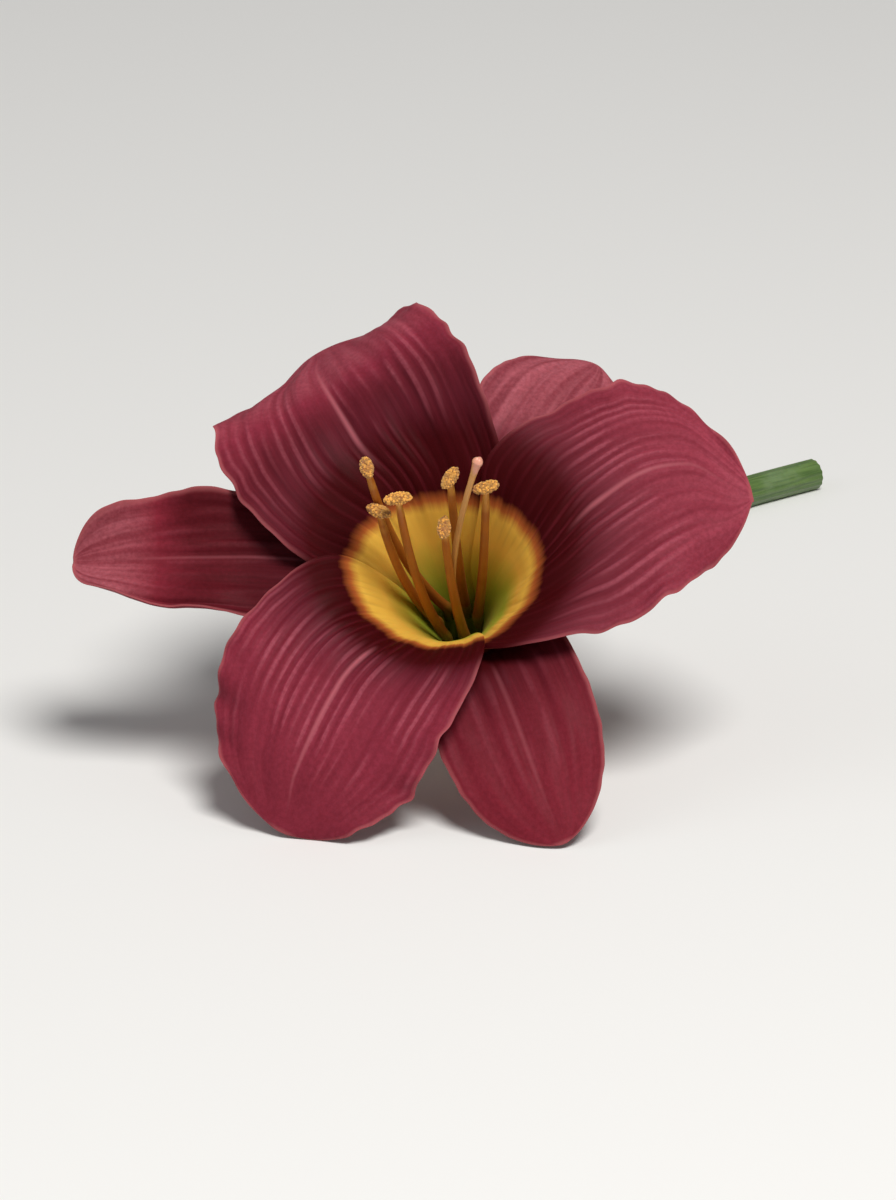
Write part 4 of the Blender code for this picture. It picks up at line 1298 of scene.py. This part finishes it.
def stalk_path():
    """Points and radii of the pedicel and scape, from the tube's foot to the cut end."""
    tilt = math.radians(BLOOM_TILT_DEG)
    point = TUBE_FOOT + Vector((0, math.cos(tilt), -math.sin(tilt))) * CLEARANCE
    total = PEDICEL_LENGTH + SCAPE_LENGTH
    count = round(total / STALK_STEP)
    step = total / count
    points, radii = [], []
    for i in range(count + 1):
        along = i * step
        radius = PEDICEL_RADIUS + (SCAPE_RADIUS - PEDICEL_RADIUS) * float(smooth(along, *THICKEN_SPAN))
        radius *= 1 + JOINT_SWELL * math.exp(-((along - PEDICEL_LENGTH) / JOINT_SPAN) ** 2)
        radius += (TUBE_FOOT_RADIUS - PEDICEL_RADIUS) * (1 - float(smooth(along, 0, JOINT_SPAN)))
        points.append(point.copy())
        radii.append(radius)
        dip = tilt * max(0.0, 1 - along / (STALK_BEND_RADIUS * tilt))
        swing = math.radians(SCAPE_SWING_DEG) * float(smooth(along, 0, total))
        heading = Vector((
            math.sin(swing) * math.cos(dip),
            math.cos(swing) * math.cos(dip),
            -math.sin(dip),
        ))
        point = point + heading * step
    for i, (spot, radius) in enumerate(zip(points, radii)):
        spot.z += (radius - FLAT_DEPTH - spot.z) * float(smooth(i * step, *SETTLE_SPAN))
    return points, radii


def make_stalk(settings, finish):
    points, radii = stalk_path()
    behind = (points[0] - points[1]).normalized()
    ahead = (points[-1] - points[-2]).normalized()
    cut = points[-1] - ahead * CUT_BACK
    rise, share = STALK_TOP
    points.insert(0, points[0] + behind * rise)
    radii.insert(0, radii[0] * share)
    points[-1:] = [cut - ahead * depth for depth in CUT_SUPPORTS] + [cut]
    radii += [radii[-1]] * len(CUT_SUPPORTS)
    line = stem_object("green_stalk", points, radii)
    piece = grown(
        line, "swept stem", stem_tree, sides=84, steps=4, ribs=settings.ribs, rib_height=settings.rib_height,
        material=finish,
    )
    cut_face(piece.data, cut, ahead)
    for vert in piece.data.vertices:
        vert.co.z = max(0.0, vert.co.z)
    return placed(piece, "stalk", "stalk")


def cut_face(mesh, end, ahead):
    """Turns the flat cap at a stem's end into a slightly hollow cut face, marked by its share of the radius."""
    bm = bmesh.new()
    bm.from_mesh(mesh)
    core = bm.verts.layers.float["core"]
    caps = [face for face in bm.faces if len(face.verts) > 4]
    cap = min(caps, key=lambda face: (face.calc_center_median() - end).length)
    rim = [vert.co.copy() for vert in cap.verts]
    for share, depth in CUT_FACE:
        cap = bmesh.ops.extrude_discrete_faces(bm, faces=[cap])["faces"][0]
        for vert, outer in zip(cap.verts, rim):
            vert.co = end + (outer - end) * share - ahead * depth
            vert[core] = share
    bmesh.ops.pointmerge(bm, verts=cap.verts, merge_co=end - ahead * CUT_FACE[-1][1])
    bm.to_mesh(mesh)
    bm.free()


def make_bract(piece_name, node, base, radius, along_way, length, breadth, spread, finish, seed):
    inner = radius + CLEARANCE + BRACT_SOLID_THICKNESS / 2
    side = Vector((0, 0, 1)).cross(along_way).normalized()
    up = along_way.cross(side)
    s, u = blade_grid(*BRACT_GRID, BRACT_ROW_CROWDING)
    full, swell = BRACT_BELLY
    narrowest, fullness, pointed = BRACT_END
    width = breadth * (full + swell * np.sin(math.pi * s)) * np.maximum(narrowest, 1 - s**fullness) ** pointed
    hollow = inner * (1 + BRACT_FLARE * s)
    wrap = u * width / hollow
    seat = BRACT_SEAT * (1 - smooth(s, *BRACT_SEAT_SPAN))
    lift = inner - seat + spread * s**BRACT_SPREAD_POWER - hollow * (1 - np.cos(wrap))
    lift = lift + BRACT_WAVE[0] * np.abs(u) ** 3 * np.sin(BRACT_WAVE[1] * s + seed)
    points = (
        np.array(base)
        + s[..., None] * length * np.array(along_way)
        + (np.sin(wrap) * hollow)[..., None] * np.array(side)
        + lift[..., None] * np.array(up)
    )
    surface = grid_object(piece_name, points, {
        "along": s,
        "across": u,
        "rim": np.minimum((1 - np.abs(u)) * width, np.minimum(1 - s, s) * length),
        "limb": shaped(1.0, s, BRACT_VEIN_SPAN, BRACT_VEIN_FADE),
    })
    piece = grown(surface, "veined blade", blade_tree, **BRACT_RELIEF, seed=seed, material=finish)
    return placed(piece, node, "stalk")


# ---------------------------------------------------------------- stage


FRAME_SIDES = (896, 1200)
SENSOR = 36.0
CAMERA_AIM = Vector((4 * MM, -42 * MM, 24 * MM))
LIGHT_AIM = Vector((0, -40 * MM, 30 * MM))
# Name, setting of its power, width, azimuth and elevation in degrees, distance and colour
LIGHTS = (
    ("key light", "key_power", 0.6, 30, 58, 1.5, (1.0, 0.98, 0.95)),
    ("fill light", "fill_power", 1.2, -60, 35, 1.6, (0.96, 0.98, 1.0)),
)
FLOOR_RADIUS = 6.0
FLOOR_DROP = 0.02 * MM  # keeps the floor just clear of the flower


def way_back(azimuth, elevation):
    """Unit vector from the bloom to a viewer at that azimuth and elevation."""
    return Vector((
        math.sin(azimuth) * math.cos(elevation),
        -math.cos(azimuth) * math.cos(elevation),
        math.sin(elevation),
    ))


def stand(piece, aim, back, distance):
    """Puts a light or a camera that far back from its aim, and turns it there."""
    piece.location = aim + back * distance
    piece.rotation_euler = (-back).to_track_quat("-Z", "Y").to_euler()


def area_light(name, power, size, azimuth_deg, elevation_deg, distance, colour):
    light = bpy.data.lights.new(name, "AREA")
    light.shape = "DISK"
    light.size = size
    light.energy = power
    light.color = colour
    stand(linked(name, light), LIGHT_AIM, way_back(math.radians(azimuth_deg), math.radians(elevation_deg)), distance)


def make_floor(colour):
    material, w = new_finish("plain floor", {"Roughness": 0.75})
    cloud = w.times(w.patches(2.0, 0.2, 0.8), 0.04)
    bm = bmesh.new()
    bmesh.ops.create_circle(bm, cap_ends=True, radius=FLOOR_RADIUS, segments=64)
    mesh = bpy.data.meshes.new("floor")
    bm.to_mesh(mesh)
    bm.free()
    mesh.materials.append(finished(material, w.mix(cloud, colour, scaled(colour, 0.9))))
    floor = linked("floor", mesh)
    floor.location.z = -FLOOR_DROP
    floor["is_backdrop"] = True


def make_camera(settings):
    camera = bpy.data.cameras.new("camera")
    view_height = settings.view_width * FRAME_SIDES[1] / FRAME_SIDES[0]
    camera.sensor_width = SENSOR
    camera.lens = camera.sensor_width * settings.distance / view_height
    camera.clip_start = 0.05
    camera.clip_end = 30.0
    eye = linked("camera", camera)
    stand(eye, CAMERA_AIM, way_back(settings.azimuth, settings.elevation), settings.distance)
    bpy.context.scene.camera = eye


# ---------------------------------------------------------------- operators


class DAYLILY_OT_petals(bpy.types.Operator):
    """Builds the three broad, ruffled petals"""

    bl_idname = "daylily.petals"
    bl_label = "Petals"

    def execute(self, context):
        settings = context.scene.daylily_petals
        finish = tepal_finish("petal velvet", settings, settings.limb, PETAL_VELVET)
        for form in PETALS:
            make_tepal(form, settings, finish)
        return {"FINISHED"}


class DAYLILY_OT_sepals(bpy.types.Operator):
    """Builds the three narrower sepals"""

    bl_idname = "daylily.sepals"
    bl_label = "Sepals"

    def execute(self, context):
        settings = context.scene.daylily_petals
        finish = tepal_finish("sepal velvet", settings, settings.sepal, SEPAL_VELVET)
        for form in SEPALS:
            make_tepal(form, settings, finish)
        return {"FINISHED"}


class DAYLILY_OT_tube(bpy.types.Operator):
    """Builds the tube under the petals, with its green throat"""

    bl_idname = "daylily.tube"
    bl_label = "Tube"

    def execute(self, context):
        make_tube(context.scene.daylily_stamens, context.scene.daylily_petals)
        return {"FINISHED"}


class DAYLILY_OT_stamens(bpy.types.Operator):
    """Builds the six stamens with their pollen"""

    bl_idname = "daylily.stamens"
    bl_label = "Stamens"

    def execute(self, context):
        settings = context.scene.daylily_stamens
        gold = stem_finish("filament skin", settings.filament, scaled(settings.filament, 1.15), settings.pollen, 0.42)
        dust = pollen_finish(settings)
        for number, (azimuth, tip, turn) in enumerate(STAMENS, start=1):
            ahead = make_filament(number, azimuth, tip, gold)
            make_anther(number, tip, ahead, turn, settings, dust)
        return {"FINISHED"}


class DAYLILY_OT_pistil(bpy.types.Operator):
    """Builds the ovary, the style and the stigma"""

    bl_idname = "daylily.pistil"
    bl_label = "Pistil"

    def execute(self, context):
        settings = context.scene.daylily_stamens
        make_pistil(stem_finish("style skin", settings.style, settings.style, settings.stigma, 0.38))
        return {"FINISHED"}


class DAYLILY_OT_stalk(bpy.types.Operator):
    """Builds the pedicel and the cut scape"""

    bl_idname = "daylily.stalk"
    bl_label = "Stalk"

    def execute(self, context):
        settings = context.scene.daylily_stalk
        make_stalk(settings, stalk_finish(settings))
        return {"FINISHED"}


class DAYLILY_OT_bracts(bpy.types.Operator):
    """Builds the bracts on the stalk"""

    bl_idname = "daylily.bracts"
    bl_label = "Bracts"

    def execute(self, context):
        finish = bract_finish(context.scene.daylily_stalk)
        points, radii = stalk_path()
        for piece, node, index, length, breadth, spread in BRACTS:
            along_way = (points[index - 1] - points[index + 1]).normalized()
            make_bract(piece, node, points[index], radii[index], along_way, length, breadth, spread, finish, index)
        return {"FINISHED"}


class DAYLILY_OT_stage(bpy.types.Operator):
    """Sets the floor, the lights and the camera"""

    bl_idname = "daylily.stage"
    bl_label = "Stage"

    def execute(self, context):
        settings = context.scene.daylily_stage
        make_floor(settings.floor)
        for name, power, *place in LIGHTS:
            area_light(name, getattr(settings, power), *place)
        world = bpy.data.worlds.new("room")
        world.use_nodes = True
        background = world.node_tree.nodes["Background"].inputs
        background["Color"].default_value = (1.0, 1.0, 1.0, 1.0)
        background["Strength"].default_value = settings.room_light
        context.scene.world = world
        context.scene.view_settings.view_transform = "Standard"
        make_camera(settings)
        return {"FINISHED"}


OPERATORS = (
    DAYLILY_OT_petals, DAYLILY_OT_sepals, DAYLILY_OT_tube, DAYLILY_OT_stamens, DAYLILY_OT_pistil,
    DAYLILY_OT_stalk, DAYLILY_OT_bracts, DAYLILY_OT_stage,
)


class DAYLILY_PT_builder(bpy.types.Panel):
    """Lists the steps that build the flower, with their settings"""

    bl_idname = "DAYLILY_PT_builder"
    bl_label = "Daylily flower"
    bl_space_type = "VIEW_3D"
    bl_region_type = "UI"
    bl_category = "Daylily"

    def draw(self, context):
        for operator in OPERATORS:
            self.layout.operator(operator.bl_idname)
        for name, group in SETTINGS:
            box = self.layout.box()
            for key in group.__annotations__:
                box.prop(getattr(context.scene, name), key)


def register():
    for name, group in SETTINGS:
        bpy.utils.register_class(group)
        setattr(bpy.types.Scene, name, PointerProperty(type=group))
    for kind in (*OPERATORS, DAYLILY_PT_builder):
        bpy.utils.register_class(kind)


def unregister():
    for kind in reversed((*OPERATORS, DAYLILY_PT_builder)):
        bpy.utils.unregister_class(kind)
    for name, group in reversed(SETTINGS):
        delattr(bpy.types.Scene, name)
        bpy.utils.unregister_class(group)


def main():
    register()
    bpy.ops.daylily.petals()
    bpy.ops.daylily.sepals()
    bpy.ops.daylily.tube()
    bpy.ops.daylily.stamens()
    bpy.ops.daylily.pistil()
    bpy.ops.daylily.stalk()
    bpy.ops.daylily.bracts()
    bpy.ops.daylily.stage()
    sizes = {"cad": CAD_BOX, "visual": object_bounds()}
    {key: [list(corner) for corner in box] for key, box in sizes.items()}


if __name__ == "__main__":
    main()
